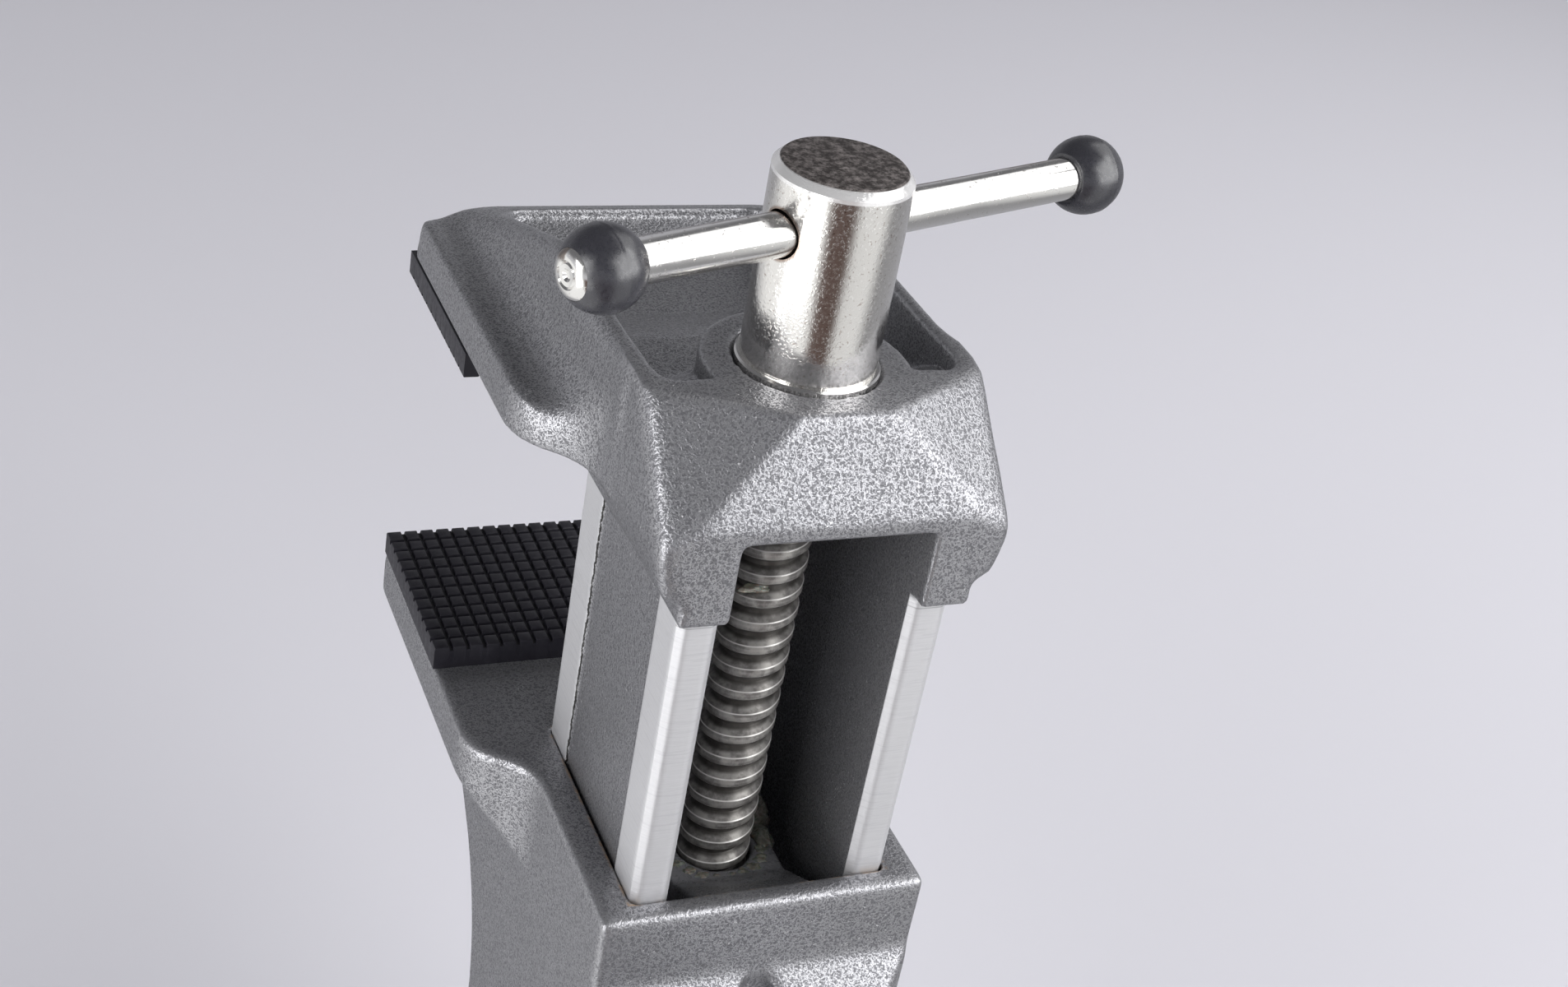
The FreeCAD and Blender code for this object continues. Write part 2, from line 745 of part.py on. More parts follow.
bar_hole = laid(rod("BarHole", S.bar_radius + S.bar_gap, S.head_radius * 2 + 2), S.bar_turn)
hole_start = -(S.head_radius + 1)
place(bar_hole, hole_start * bar_cosine, hole_start * bar_sine, bar_height)
collar_top = S.hollow_top - 0.3
collar_pin_hole = rod("CollarPinWay", S.pin_radius + S.fit_gap, S.collar_radius * 2,
                      -S.collar_radius, 0, collar_top - S.collar_length / 2, "X")
jaw_screw = cut("JawScrew", screw_blank, bar_hole, collar_pin_hole)
place_on_moving_jaw(node(jaw_screw, "jaw_screw"))


# Thrust washer: a bright steel ring in the hood's pocket, under the screw head

thrust_washer = turned("ThrustWasher", [
    (screw_hole, washer_seat), (S.washer_radius, washer_seat),
    (S.washer_radius, washer_top - 0.4), (S.washer_radius - 0.4, washer_top), (screw_hole, washer_top)])
place_on_moving_jaw(node(thrust_washer, "thrust_washer"))


# Screw collar and its pin: they sit under the hood's roof and draw the jaw back

collar_ring = turned("CollarRing", [
    (S.screw_radius + S.fit_gap, collar_top - S.collar_length),
    (S.collar_radius, collar_top - S.collar_length), (S.collar_radius, collar_top),
    (S.screw_radius + S.fit_gap, collar_top)])
collar_hole = rod("CollarHole", S.pin_radius + S.fit_gap, S.collar_radius * 2 + 2,
                  -S.collar_radius - 1, 0, collar_top - S.collar_length / 2, "X")
screw_collar = cut("ScrewCollar", collar_ring, collar_hole)
place_on_moving_jaw(node(screw_collar, "screw_collar"))
collar_pin = rod("CollarPin", S.pin_radius, S.collar_radius * 2 - 0.6, along="X")
place(collar_pin, 0.3 - S.collar_radius, S.stem_reach,
      seat_height + collar_top - S.collar_length / 2)
node(collar_pin, "collar_pin")


# Handle bar with a turned-down tip at each end, and the two moulded knobs on its tips

def handle_bar(name, radius, span, knob, flat, tip, tip_reach):
    half = span / 2
    shoulder = half - flat
    end = half + knob + tip_reach
    return turned(name, [
        (0, -end), (tip - 0.8, -end), (tip, 0.8 - end), (tip, -shoulder), (radius, -shoulder),
        (radius, shoulder), (tip, shoulder), (tip, end - 0.8), (tip - 0.8, end), (0, end)])


def handle_knob(name, radius, flat, bore):
    """A ball with a flat face against the bar's shoulder, bored right through."""
    face = root(radius * radius - flat * flat)
    mouth = root(radius * radius - bore * bore)
    return turned(name, [
        (bore, -flat), (face, -flat), (radius, 0, radius, 1), (bore, mouth, radius, 1)])


def place_on_bar(piece, reach):
    """Put a piece on the handle's axis, reach millimetres out from the screw axis."""
    return place(piece, reach * bar_cosine, S.stem_reach + reach * bar_sine, seat_height + bar_height)


bar = handle_bar("HandleBar", S.bar_radius, S.bar_span, S.knob_radius, S.knob_flat,
                 S.bar_tip, S.bar_tip_reach)
node(place_on_bar(laid(bar, S.bar_turn), S.bar_shift), "handle_bar")
for label, side in (("handle_knob_left", -1), ("handle_knob_right", 1)):
    knob = handle_knob(f"Knob{side + 2}", S.knob_radius, S.knob_flat, S.bar_tip + S.fit_gap)
    laid(knob, float(S.bar_turn) + 90 - 90 * side)
    node(place_on_bar(knob, S.bar_shift + S.bar_span / 2 * side), label)


# Ball stem: the ball and its stem, turned in one piece, with the spigot let into the fixed jaw

ball_crown = root(S.ball_radius * S.ball_radius - S.neck_radius * S.neck_radius)
ball_stem = turned("BallStem", [
    (0, -S.ball_radius), (S.neck_radius, ball_crown, S.ball_radius, 1),
    (S.neck_radius, spigot_end - 0.8), (S.neck_radius - 0.8, spigot_end), (0, spigot_end)], "Y")
node(place(ball_stem, 0, 0, S.ball_height), "ball_stem")


# Set screw that locks the stem in the fixed jaw

def hexagon(name, corner_radius, length, x=0, y=0, z=0, along="Z"):
    solid = doc.addObject("Part::Prism", name)
    solid.Polygon = 6
    solid.Placement.Rotation = ALONG[along]
    bind(solid, "Circumradius", corner_radius)
    bind(solid, "Height", length)
    return place(solid, x, y, z)


set_screw = cut(
    "SetScrew",
    rod("SetScrewBlank", S.set_screw_radius, S.set_screw_length, along="X"),
    hexagon("SetScrewSocket", S.set_screw_radius * 0.55, S.set_screw_radius + 1,
            S.set_screw_length - S.set_screw_radius, along="X"))
place(set_screw, S.neck_radius + S.fit_gap, S.stem_reach - body_front - 4, S.ball_height)
node(set_screw, "stem_set_screw")


# Base housing: one casting with the foot, the post, the ball's seat and the bosses

seat_radius = S.ball_radius + S.ball_gap
seat_mouth = root(seat_radius * seat_radius - S.ring_foot * S.ring_foot)
ring_base = S.ball_height + S.ring_foot
rim_inner = S.housing_radius - S.housing_wall
housing_shell = turned("HousingShell", [
    (0, S.cavity_top), (S.cavity_radius, S.cavity_top), (S.cavity_radius, S.cavity_foot),
    (S.shoulder_radius - S.housing_wall, S.shoulder_height - S.housing_wall * 1.3),
    (rim_inner, S.cup_height + S.housing_rim - S.housing_wall / 2), (rim_inner, S.cup_height),
    (S.housing_radius, S.cup_height), (S.housing_radius, S.cup_height + S.housing_rim),
    (S.shoulder_radius, S.shoulder_height, S.shoulder_round, 1),
    (S.post_radius, S.post_foot, S.post_round, -1), (S.post_radius, ring_base),
    (seat_mouth, ring_base), (0, S.ball_height - seat_radius, seat_radius, -1)])
lock_height = S.ball_height - S.lock_drop
boss_start = S.cavity_radius + 4
housing_solid = fused(
    "HousingSolid", housing_shell,
    rod("LockBoss", S.lock_boss, S.lock_boss_reach - boss_start, -S.lock_boss_reach, 0, lock_height, "X"),
    rod("RightBoss", S.shaft_boss, S.shaft_boss_reach - boss_start, boss_start, 0, S.shaft_height, "X"),
    rod("LeftBoss", S.left_boss, S.left_boss_reach - boss_start, -S.left_boss_reach, 0,
        S.shaft_height, "X"))
slot_half = S.neck_radius + S.slot_gap
lock_bore = S.lock_radius + S.fit_gap
shaft_bore = S.shaft_radius + S.fit_gap
spot_depth = S.housing_radius - S.shaft_boss_reach + 5
housing_cuts = [
    block("StemSlot", (-slot_half, 0, S.ball_height), (slot_half, S.post_radius + 2, ring_base + 1)),
    rod("StemWay", slot_half, S.post_radius + 2, 0, 0, S.ball_height, "Y"),
    rod("LockBore", lock_bore, S.lock_boss_reach - S.lock_pad_end / 2, -S.lock_boss_reach - 1, 0,
        lock_height, "X"),
    rod("BushBore", S.bush_radius + S.fit_gap, S.shaft_boss_reach, 15, 0, S.shaft_height, "X"),
    rod("ShaftBore", shaft_bore, S.left_boss_reach, -S.left_boss_reach - 1, 0, S.shaft_height, "X"),
    rod("RightSpotFace", S.shaft_boss + S.spot_gap, spot_depth, S.shaft_boss_reach, 0,
        S.shaft_height, "X"),
    rod("LeftSpotFace", S.left_boss + S.spot_gap, spot_depth, -S.left_boss_reach - spot_depth, 0,
        S.shaft_height, "X"),
]
ring_top = ring_base + S.ring_height
ring_screw_top = ring_top - S.ring_screw_inset
ring_screw_seat = ring_screw_top - S.ring_screw_head_length
ring_screw_end = ring_screw_seat - S.ring_screw_depth
screw_reach = S.ring_screw_circle / root(as_size(2))
ring_cuts = [block("RingSlot", (-slot_half, 0, ring_base - 1), (slot_half, S.post_radius + 2, ring_top + 1))]
ring_screws = []
for number, (right, back) in enumerate(((1, 1), (-1, 1), (-1, -1), (1, -1)), start=1):
    spot = (screw_reach * right, screw_reach * back)
    housing_cuts.append(rod(
        f"HousingScrewHole{number}", S.ring_screw_radius + S.fit_gap, S.ring_screw_depth,
        *spot, ring_screw_end - 1))
    ring_cuts.append(rod(
        f"RingScrewHole{number}", S.ring_screw_radius + S.spot_gap, S.ring_height, *spot, ring_base - 1))
    ring_cuts.append(rod(
        f"RingScrewSeat{number}", S.ring_screw_head + S.spot_gap, S.ring_height, *spot, ring_screw_seat))
    screw_blank = fused(
        f"RingScrewBlank{number}",
        rod(f"RingScrewShank{number}", S.ring_screw_radius, S.ring_screw_depth + 1, *spot, ring_screw_end),
        rod(f"RingScrewHead{number}", S.ring_screw_head, S.ring_screw_head_length, *spot,
            ring_screw_seat))
    screw_socket = hexagon(
        f"RingScrewSocket{number}", S.ring_screw_head * 0.56, S.ring_screw_radius + 1, *spot,
        ring_screw_top - S.ring_screw_radius)
    ring_screws.append(cut(f"RingScrew{number}", screw_blank, screw_socket))
node(cut("Housing", housing_solid, *housing_cuts), "base_housing")


# Socket ring that holds the ball down, with its four screws

ring_mouth = root(seat_radius * seat_radius - (ring_top - S.ball_height) * (ring_top - S.ball_height))
ring_blank = turned("RingBlank", [
    (seat_mouth, ring_base, seat_radius, -1), (S.post_radius, ring_base),
    (S.post_radius, ring_top - 1.5), (S.post_radius - 1.5, ring_top), (ring_mouth, ring_top)])
node(cut("Ring", ring_blank, *ring_cuts), "socket_ring")
node(fused("RingScrews", *ring_screws), "ring_screws")


# Ball lock: a pad with a hollow end on the ball, the screw behind it and the screw's tommy bar

pad_start = S.ball_radius - S.lock_radius
lock_pad = cut(
    "LockPad",
    rod("LockPadBlank", S.lock_radius, S.lock_pad_end - pad_start + 1, -S.lock_pad_end, 0, -S.lock_drop, "X"),
    globe("LockPadHollow", S.ball_radius + S.fit_gap))
node(place(lock_pad, 0, 0, S.ball_height), "lock_pad")
lock_head_start = S.lock_boss_reach + S.lock_stand
lock_end = lock_head_start + S.lock_head_length
lock_tip_start = S.lock_pad_end + S.fit_gap
lock_middle = lock_head_start + S.lock_head_length / 2
lock_blank = turned("LockBlank", [
    (0, -lock_end), (S.lock_head - 0.8, -lock_end), (S.lock_head, 0.8 - lock_end),
    (S.lock_head, -lock_head_start - 0.8), (S.lock_head - 0.8, -lock_head_start),
    (S.lock_radius, -lock_head_start), (S.lock_radius, -lock_tip_start - 1),
    (S.lock_radius - 1, -lock_tip_start), (0, -lock_tip_start)], "X")
lock_hole = rod("LockHole", S.lock_bar_radius + S.bar_gap, S.lock_head * 2 + 2,
                -lock_middle, -S.lock_head - 1, 0, "Y")
lock_screw = cut("LockScrew", lock_blank, lock_hole)
node(place(lock_screw, 0, 0, lock_height), "lock_screw")
lock_bar = handle_bar("LockBar", S.lock_bar_radius, S.lock_bar_span, S.lock_knob, S.lock_knob_flat,
                      S.lock_tip, S.lock_tip_reach)
node(place(laid(lock_bar, 90), -lock_middle, 0, lock_height), "lock_bar")
for label, side in (("lock_knob_front", -1), ("lock_knob_back", 1)):
    knob = handle_knob(f"LockKnob{side + 2}", S.lock_knob, S.lock_knob_flat, S.lock_tip + S.fit_gap)
    node(place(laid(knob, 90 * side), -lock_middle, S.lock_bar_span / 2 * side, lock_height), label)


# Suction foot: the rubber cup and its middle web, and the steel stud that lifts the web

node(turned("SuctionCup", [
    (S.cup_inner, 1), (S.cup_inner + 3, 0), (S.cup_radius - 2, 0), (S.cup_radius, 2),
    (S.cup_radius, S.cup_height - 1.5), (S.cup_radius - 1.5, S.cup_height),
    (S.cup_inner, S.cup_height)]), "suction_cup")
node(rod("SuctionWeb", S.cup_inner - S.web_gap, S.web_thick), "suction_web")
cam_shift = S.cam_offset / root(as_size(2))
window_reach = S.cam_radius + S.cam_offset + S.cam_gap
window_low = S.shaft_height - cam_shift - S.cam_radius - S.cam_gap
window_high = S.shaft_height - cam_shift + S.cam_radius + S.cam_gap
yoke_half = S.yoke_width / 2
stud_blank = fused(
    "StudBlank",
    rod("StudPlate", S.plate_radius, S.plate_height, 0, 0, S.web_thick),
    rod("StudRod", S.rod_radius, window_low - S.web_thick - 1, 0, 0, S.web_thick),
    block("StudYoke", (-yoke_half, -window_reach - S.yoke_wall, window_low - S.yoke_wall),
          (yoke_half, window_reach + S.yoke_wall, window_high + S.yoke_wall)))
stud_window = block("StudWindow", (-yoke_half - 1, -window_reach, window_low),
                    (yoke_half + 1, window_reach, window_high))
node(cut("PullStud", stud_blank, stud_window), "pull_stud")


# Cam shaft through the housing, with its flanged bush and its clip

groove_start = S.left_boss_reach + 0.1
groove_end = groove_start + S.clip_thick + 0.2
shaft_blank = turned("ShaftBlank", [
    (0, -S.shaft_left), (S.shaft_radius - 0.8, -S.shaft_left), (S.shaft_radius, 0.8 - S.shaft_left),
    (S.shaft_radius, -groove_end), (S.clip_groove, -groove_end), (S.clip_groove, -groove_start),
    (S.shaft_radius, -groove_start), (S.shaft_radius, S.shaft_right - 0.8),
    (S.shaft_radius - 0.8, S.shaft_right), (0, S.shaft_right)], "X")
cam = rod("Cam", S.cam_radius, S.cam_length, -S.cam_length / 2, cam_shift, -cam_shift, "X")
lever_middle = S.lever_start + S.lever_thick / 2
shaft_pin_hole = rod("ShaftPinHole", S.lever_pin_radius + S.fit_gap, S.shaft_radius * 2 + 2,
                     lever_middle, -S.shaft_radius - 1, 0, "Y")
cam_shaft = cut("CamShaft", fused("CamShaftBlank", shaft_blank, cam), shaft_pin_hole)
node(place(cam_shaft, 0, 0, S.shaft_height), "cam_shaft")
bush_start = S.cavity_radius + 2
shaft_bush = turned("ShaftBush", [
    (shaft_bore, bush_start), (S.bush_radius, bush_start), (S.bush_radius, S.shaft_boss_reach),
    (S.bush_flange, S.shaft_boss_reach), (S.bush_flange, S.shaft_boss_reach + S.bush_flange_thick),
    (shaft_bore, S.shaft_boss_reach + S.bush_flange_thick)], "X")
node(place(shaft_bush, 0, 0, S.shaft_height), "shaft_bush")
clip_start = groove_start + 0.1 + S.clip_thick
clip_inner = S.clip_groove + S.fit_gap
clip_blank = rod("ClipBlank", S.clip_radius, S.clip_thick, -clip_start, along="X")
shaft_clip = cut(
    "ShaftClip", clip_blank,
    rod("ClipBore", clip_inner, S.clip_thick + 2, -clip_start - 1, along="X"),
    block("ClipMouth", (-clip_start - 1, -clip_inner * 0.8, -S.clip_radius - 1),
          (-clip_start + S.clip_thick + 1, clip_inner * 0.8, 0)))
node(place(shaft_clip, 0, 0, S.shaft_height), "shaft_clip")


# Suction lever with its moulded grip and the pin that fixes it to the shaft

lever_end = S.lever_start + S.lever_thick
core_start = S.lever_arm - 2
grip_end = S.lever_arm + S.grip_length
core_end = grip_end - S.grip_wall - 1.4
lever_solid = fused(
    "LeverSolid",
    rod("LeverHub", S.lever_hub, S.lever_thick, S.lever_start, along="X"),
    prism("LeverArm", "YZ",
          [(-S.lever_root, 0), (S.lever_root, 0), (S.lever_tip, S.lever_arm), (-S.lever_tip, S.lever_arm)],
          S.lever_start + 0.5, lever_end - 0.5),
    rod("GripCore", S.grip_core, core_end - core_start, lever_middle, 0, core_start))
lever_pin_hole = rod("LeverPinHole", S.lever_pin_radius + S.fit_gap, S.lever_hub * 2 + 2,
                     lever_middle, -S.lever_hub - 1, 0, "Y")
shaft_socket = rod("ShaftSocket", shaft_bore, S.lever_thick + 2, S.lever_start - 1, along="X")
node(place(cut("Lever", lever_solid, shaft_socket, lever_pin_hole), 0, 0, S.shaft_height),
     "suction_lever")
grip_bore = S.grip_core + S.fit_gap
grip_radius = S.grip_core + S.grip_wall
lever_grip = turned("LeverGrip", [
    (grip_bore, S.lever_arm), (grip_radius - 1, S.lever_arm), (grip_radius, S.lever_arm + 1),
    (grip_radius, grip_end - 3), (grip_radius - 3, grip_end, 3, 1), (0, grip_end),
    (0, core_end + S.fit_gap), (grip_bore, core_end + S.fit_gap)])
node(place(lever_grip, lever_middle, 0, S.shaft_height), "lever_grip")
lever_pin = rod("LeverPin", S.lever_pin_radius, S.lever_hub * 2 - 0.6,
                lever_middle, 0.3 - S.lever_hub, S.shaft_height, "Y")
node(lever_pin, "lever_pin")


# Hand-over: check every object, then write one file for each piece

doc.recompute()
faults = [o.Name for o in doc.Objects if "Invalid" in o.State or "Error" in o.State]
for piece in nodes:
    if piece.Shape.isNull() or not piece.Shape.isValid():
        faults.append(piece.Label)
if faults:
    raise RuntimeError(f"These objects failed: {faults}")
os.makedirs("parts", exist_ok=True)
for piece in nodes:
    piece.Shape.exportStep(os.path.join("parts", piece.Label + ".step"))
    print(f"{piece.Label}: {len(piece.Shape.Solids)} solid, {piece.Shape.Volume / 1000:.2f} cm3")
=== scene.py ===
import math

import bmesh
import bpy
import numpy as np
from mathutils import Matrix, Vector, noise


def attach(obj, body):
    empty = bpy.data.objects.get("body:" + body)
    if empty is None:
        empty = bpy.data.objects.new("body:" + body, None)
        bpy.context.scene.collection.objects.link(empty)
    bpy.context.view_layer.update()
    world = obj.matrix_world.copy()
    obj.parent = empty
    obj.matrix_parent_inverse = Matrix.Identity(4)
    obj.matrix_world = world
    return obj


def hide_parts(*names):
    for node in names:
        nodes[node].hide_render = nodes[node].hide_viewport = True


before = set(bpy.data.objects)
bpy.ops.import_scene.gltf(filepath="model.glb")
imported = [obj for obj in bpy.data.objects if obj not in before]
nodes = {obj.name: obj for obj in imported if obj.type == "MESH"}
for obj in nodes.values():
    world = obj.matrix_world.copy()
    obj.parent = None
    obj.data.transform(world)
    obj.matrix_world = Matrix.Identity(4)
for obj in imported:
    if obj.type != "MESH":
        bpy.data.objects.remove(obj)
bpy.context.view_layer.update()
MM = 0.001


# Camera. It stands in front of the foot, to its left, and looks down on the head,
# with the slight roll of a hand-held shot.

def put(name, data):
    """A new object in the scene."""
    made = bpy.data.objects.new(name, data)
    bpy.context.scene.collection.objects.link(made)
    return made


camera = put("camera", bpy.data.cameras.new("camera"))
bpy.context.scene.camera = camera
camera.data.sensor_width = 36
camera.data.lens = 49.97
to_right = Vector((0.9164, -0.3641, 0.1661))
to_top = Vector((0.0587, 0.5329, 0.8442))
to_back = Vector((-0.3958, -0.7639, 0.5097))
camera.matrix_world = (
    Matrix.Translation((-0.1295, -0.1839, 0.3787))
    @ Matrix((to_right, to_top, to_back)).transposed().to_4x4())


# Studio. Pale paper sweeps up behind the vise. One large soft lamp stands to the right of the
# camera and a weaker one to its left, with faint ones above and low down, under a sky that
# darkens upwards.

CAMERA_BEARING = math.radians(27.4)
PAPER = (0.757, 0.75, 0.802, 1)
VEIL = (0.97, 0.95, 1.0, 1)
VEIL_STRENGTH = 0.015
SWEEP_HALF, SWEEP_FRONT, SWEEP_BACK, SWEEP_ROUND = 3.0, -2.5, 1.6, 0.8
SWEEP_STEPS, SWEEP_STEP = 12, 7.0
# The room that bright metal shows: bearings from the camera, in degrees, and colours.
ROOM = ((-180, (0.42, 0.42, 0.45)), (-122, (0.36, 0.36, 0.38)), (-98, (1.0, 1.0, 1.0)),
        (-18, (1.0, 1.0, 1.0)), (-5, (0.13, 0.09, 0.08)), (28, (0.11, 0.075, 0.065)),
        (44, (0.78, 0.78, 0.78)), (84, (0.85, 0.85, 0.85)), (104, (0.3, 0.3, 0.31)),
        (180, (0.42, 0.42, 0.45)))
HEAD_MIDDLE = Vector((0, 0.08, 0.2))
SKY = (0.95, 0.95, 1.0, 1)
SKY_LOW, SKY_HIGH = 0.05, 0.48
SKY_LOW_STRENGTH, SKY_HIGH_STRENGTH = 0.6, 0.17


def add(tree, kind, settings=None, **inputs):
    """Put a node in a tree. Its inputs are called by name, or by number as in _0, and each
    is given a number, a colour or another node's output."""
    made = tree.nodes.new("ShaderNode" + kind)
    for name, value in (settings or {}).items():
        setattr(made, name, value)
    for name, value in inputs.items():
        socket = made.inputs[int(name[1:]) if name[0] == "_" else name.replace("_", " ")]
        if isinstance(value, bpy.types.NodeSocket):
            tree.links.new(value, socket)
        else:
            socket.default_value = value
    return made


def sums(tree, operation, first, second=0.0):
    """Arithmetic on numbers; an operation on one number leaves the second out."""
    return add(tree, "Math", {"operation": operation}, _0=first, _1=second).outputs[0]


def here(tree):
    """A place on the object, in metres from the middle of its foot."""
    return add(tree, "TexCoord").outputs["Object"]


def new_material(name):
    made = bpy.data.materials.new(name)
    made.use_nodes = True
    made.node_tree.nodes.clear()
    return made, made.node_tree


def surface(tree, shader):
    add(tree, "OutputMaterial", Surface=shader.outputs[0])


def smooth(piece, angle=None):
    """Shade a piece smoothly, but for the edges that bend more than angle degrees."""
    mesh = piece.data
    mesh.polygons.foreach_set("use_smooth", [True] * len(mesh.polygons))
    if angle:
        mesh.set_sharp_from_angle(angle=math.radians(angle))


def built(name, points, faces, angle=None):
    """A new piece from its points and faces."""
    mesh = bpy.data.meshes.new(name)
    mesh.from_pydata([tuple(point) for point in points], [], faces)
    piece = put(name, mesh)
    smooth(piece, angle)
    return piece


def studio_paper():
    """Matt paper to the camera; polished metal sees a room with lit and dark walls instead."""
    made, tree = new_material("studio_paper")
    place = add(tree, "SeparateXYZ", Vector=add(
        tree, "Mapping", {"vector_type": "VECTOR"}, Vector=here(tree),
        Rotation=(0, 0, CAMERA_BEARING)).outputs[0])
    bearing = sums(tree, "ARCTAN2", place.outputs["X"], sums(tree, "MULTIPLY", place.outputs["Y"], -1.0))
    room = add(tree, "ValToRGB", Fac=add(tree, "MapRange", _0=bearing, _1=-math.pi, _2=math.pi).outputs[0])
    stops = room.color_ramp.elements
    while len(stops) < len(ROOM):
        stops.new(0.5)
    for stop, (degrees, colour) in zip(stops, ROOM):
        stop.position = degrees / 360 + 0.5
        stop.color = colour + (1,)
    ray = add(tree, "LightPath")
    veil = add(tree, "Emission", Color=VEIL,
               Strength=sums(tree, "MULTIPLY", ray.outputs["Is Camera Ray"], VEIL_STRENGTH))
    seen = add(tree, "AddShader", _0=add(tree, "BsdfDiffuse", Color=PAPER).outputs[0], _1=veil.outputs[0])
    mirrored = add(tree, "Emission", Color=room.outputs[0])
    surface(tree, add(tree, "MixShader", _0=ray.outputs["Is Glossy Ray"], _1=seen.outputs[0],
                      _2=mirrored.outputs[0]))
    return made


sweep_line = [(SWEEP_FRONT, 0.0), (SWEEP_BACK, 0.0)]
for step in range(1, SWEEP_STEPS + 1):
    angle = math.radians(step * SWEEP_STEP)
    sweep_line.append((SWEEP_BACK + math.sin(angle) * SWEEP_ROUND,
                       SWEEP_ROUND - math.cos(angle) * SWEEP_ROUND))
sweep = built(
    "studio_sweep", [(side * SWEEP_HALF, y, z) for y, z in sweep_line for side in (-1, 1)],
    [(n * 2, n * 2 + 1, n * 2 + 3, n * 2 + 2) for n in range(len(sweep_line) - 1)])
sweep.data.materials.append(studio_paper())


def lamp(name, direction, distance, wide, high, power):
    """A rectangle of light that faces the head."""
    light = bpy.data.lights.new(name, "AREA")
    light.shape = "RECTANGLE"
    light.size = wide
    light.size_y = high
    light.energy = power
    stand = put(name, light)
    toward = Vector(direction).normalized()
    stand.location = HEAD_MIDDLE + toward * distance
    stand.rotation_euler = toward.to_track_quat("Z", "Y").to_euler()


lamp("key_lamp", (0.68, -0.58, 0.45), 1.4, 1.7, 1.4, 25.5)
lamp("top_lamp", (0.66, 0.22, 0.72), 1.4, 1.0, 1.0, 4)
lamp("fill_lamp", (-0.9, -0.35, 0.22), 1.6, 1.0, 1.3, 14.5)
lamp("card_lamp", (-0.90, -0.36, -0.30), 0.5, 0.45, 0.2, 0.7)

world = bpy.data.worlds.new("studio")
bpy.context.scene.world = world
world.use_nodes = True
sky = world.node_tree
height = add(sky, "SeparateXYZ", Vector=add(sky, "TexCoord").outputs["Generated"]).outputs["Z"]
strength = add(sky, "MapRange", {"interpolation_type": "SMOOTHSTEP"}, _0=height, _1=SKY_LOW,
               _2=SKY_HIGH, _3=SKY_LOW_STRENGTH, _4=SKY_HIGH_STRENGTH).outputs[0]
sky.nodes["Background"].inputs["Color"].default_value = SKY
sky.links.new(strength, sky.nodes["Background"].inputs["Strength"])
bpy.context.scene.view_settings.view_transform = "Standard"


# Foot housing. One aluminium casting with the foot, the post and the bosses for the lock and
# the lever. It is sand cast, fettled at its edges and sprayed with a grey hammer finish.

PAINT_LIGHT = (0.50, 0.50, 0.52, 1)
PAINT_DARK = (0.165, 0.165, 0.177, 1)
PAINT_CLOUD = (0.24, 0.24, 0.252, 1)
PAINT_GLINT_SPECK = (0.8, 0.8, 0.81, 1)
PAINT_CELL, FLAKE, SPECK, CLOUD = 0.58 * MM, 0.22 * MM, 0.5 * MM, 12 * MM
PAINT_RELIEF = 0.14 * MM
RIDGE_GAIN, RIDGE_BLUR = 0.0044, 3
FOOT_FACE = 0.8 * MM
FOOT_ROUNDS = 8.0


def grain(tree, size, detail=2.0, rough=0.5, twist=0.0, where=None):
    """Noise whose lumps are about size metres across."""
    made = add(tree, "TexNoise", Vector=where or here(tree), Scale=1 / size, Detail=detail,
               Roughness=rough, Distortion=twist)
    return made.outputs["Fac"]


def between(tree, value, low, high, low_to=0.0, high_to=1.0):
    """Stretch low..high over low_to..high_to with soft ends."""
    made = add(tree, "MapRange", {"interpolation_type": "SMOOTHSTEP"}, _0=value, _1=low, _2=high,
               _3=low_to, _4=high_to)
    return made.outputs[0]


def blended(tree, share, first, second):
    """A mix of two colours."""
    return add(tree, "Mix", {"data_type": "RGBA"}, _0=share, _6=first, _7=second).outputs[2]


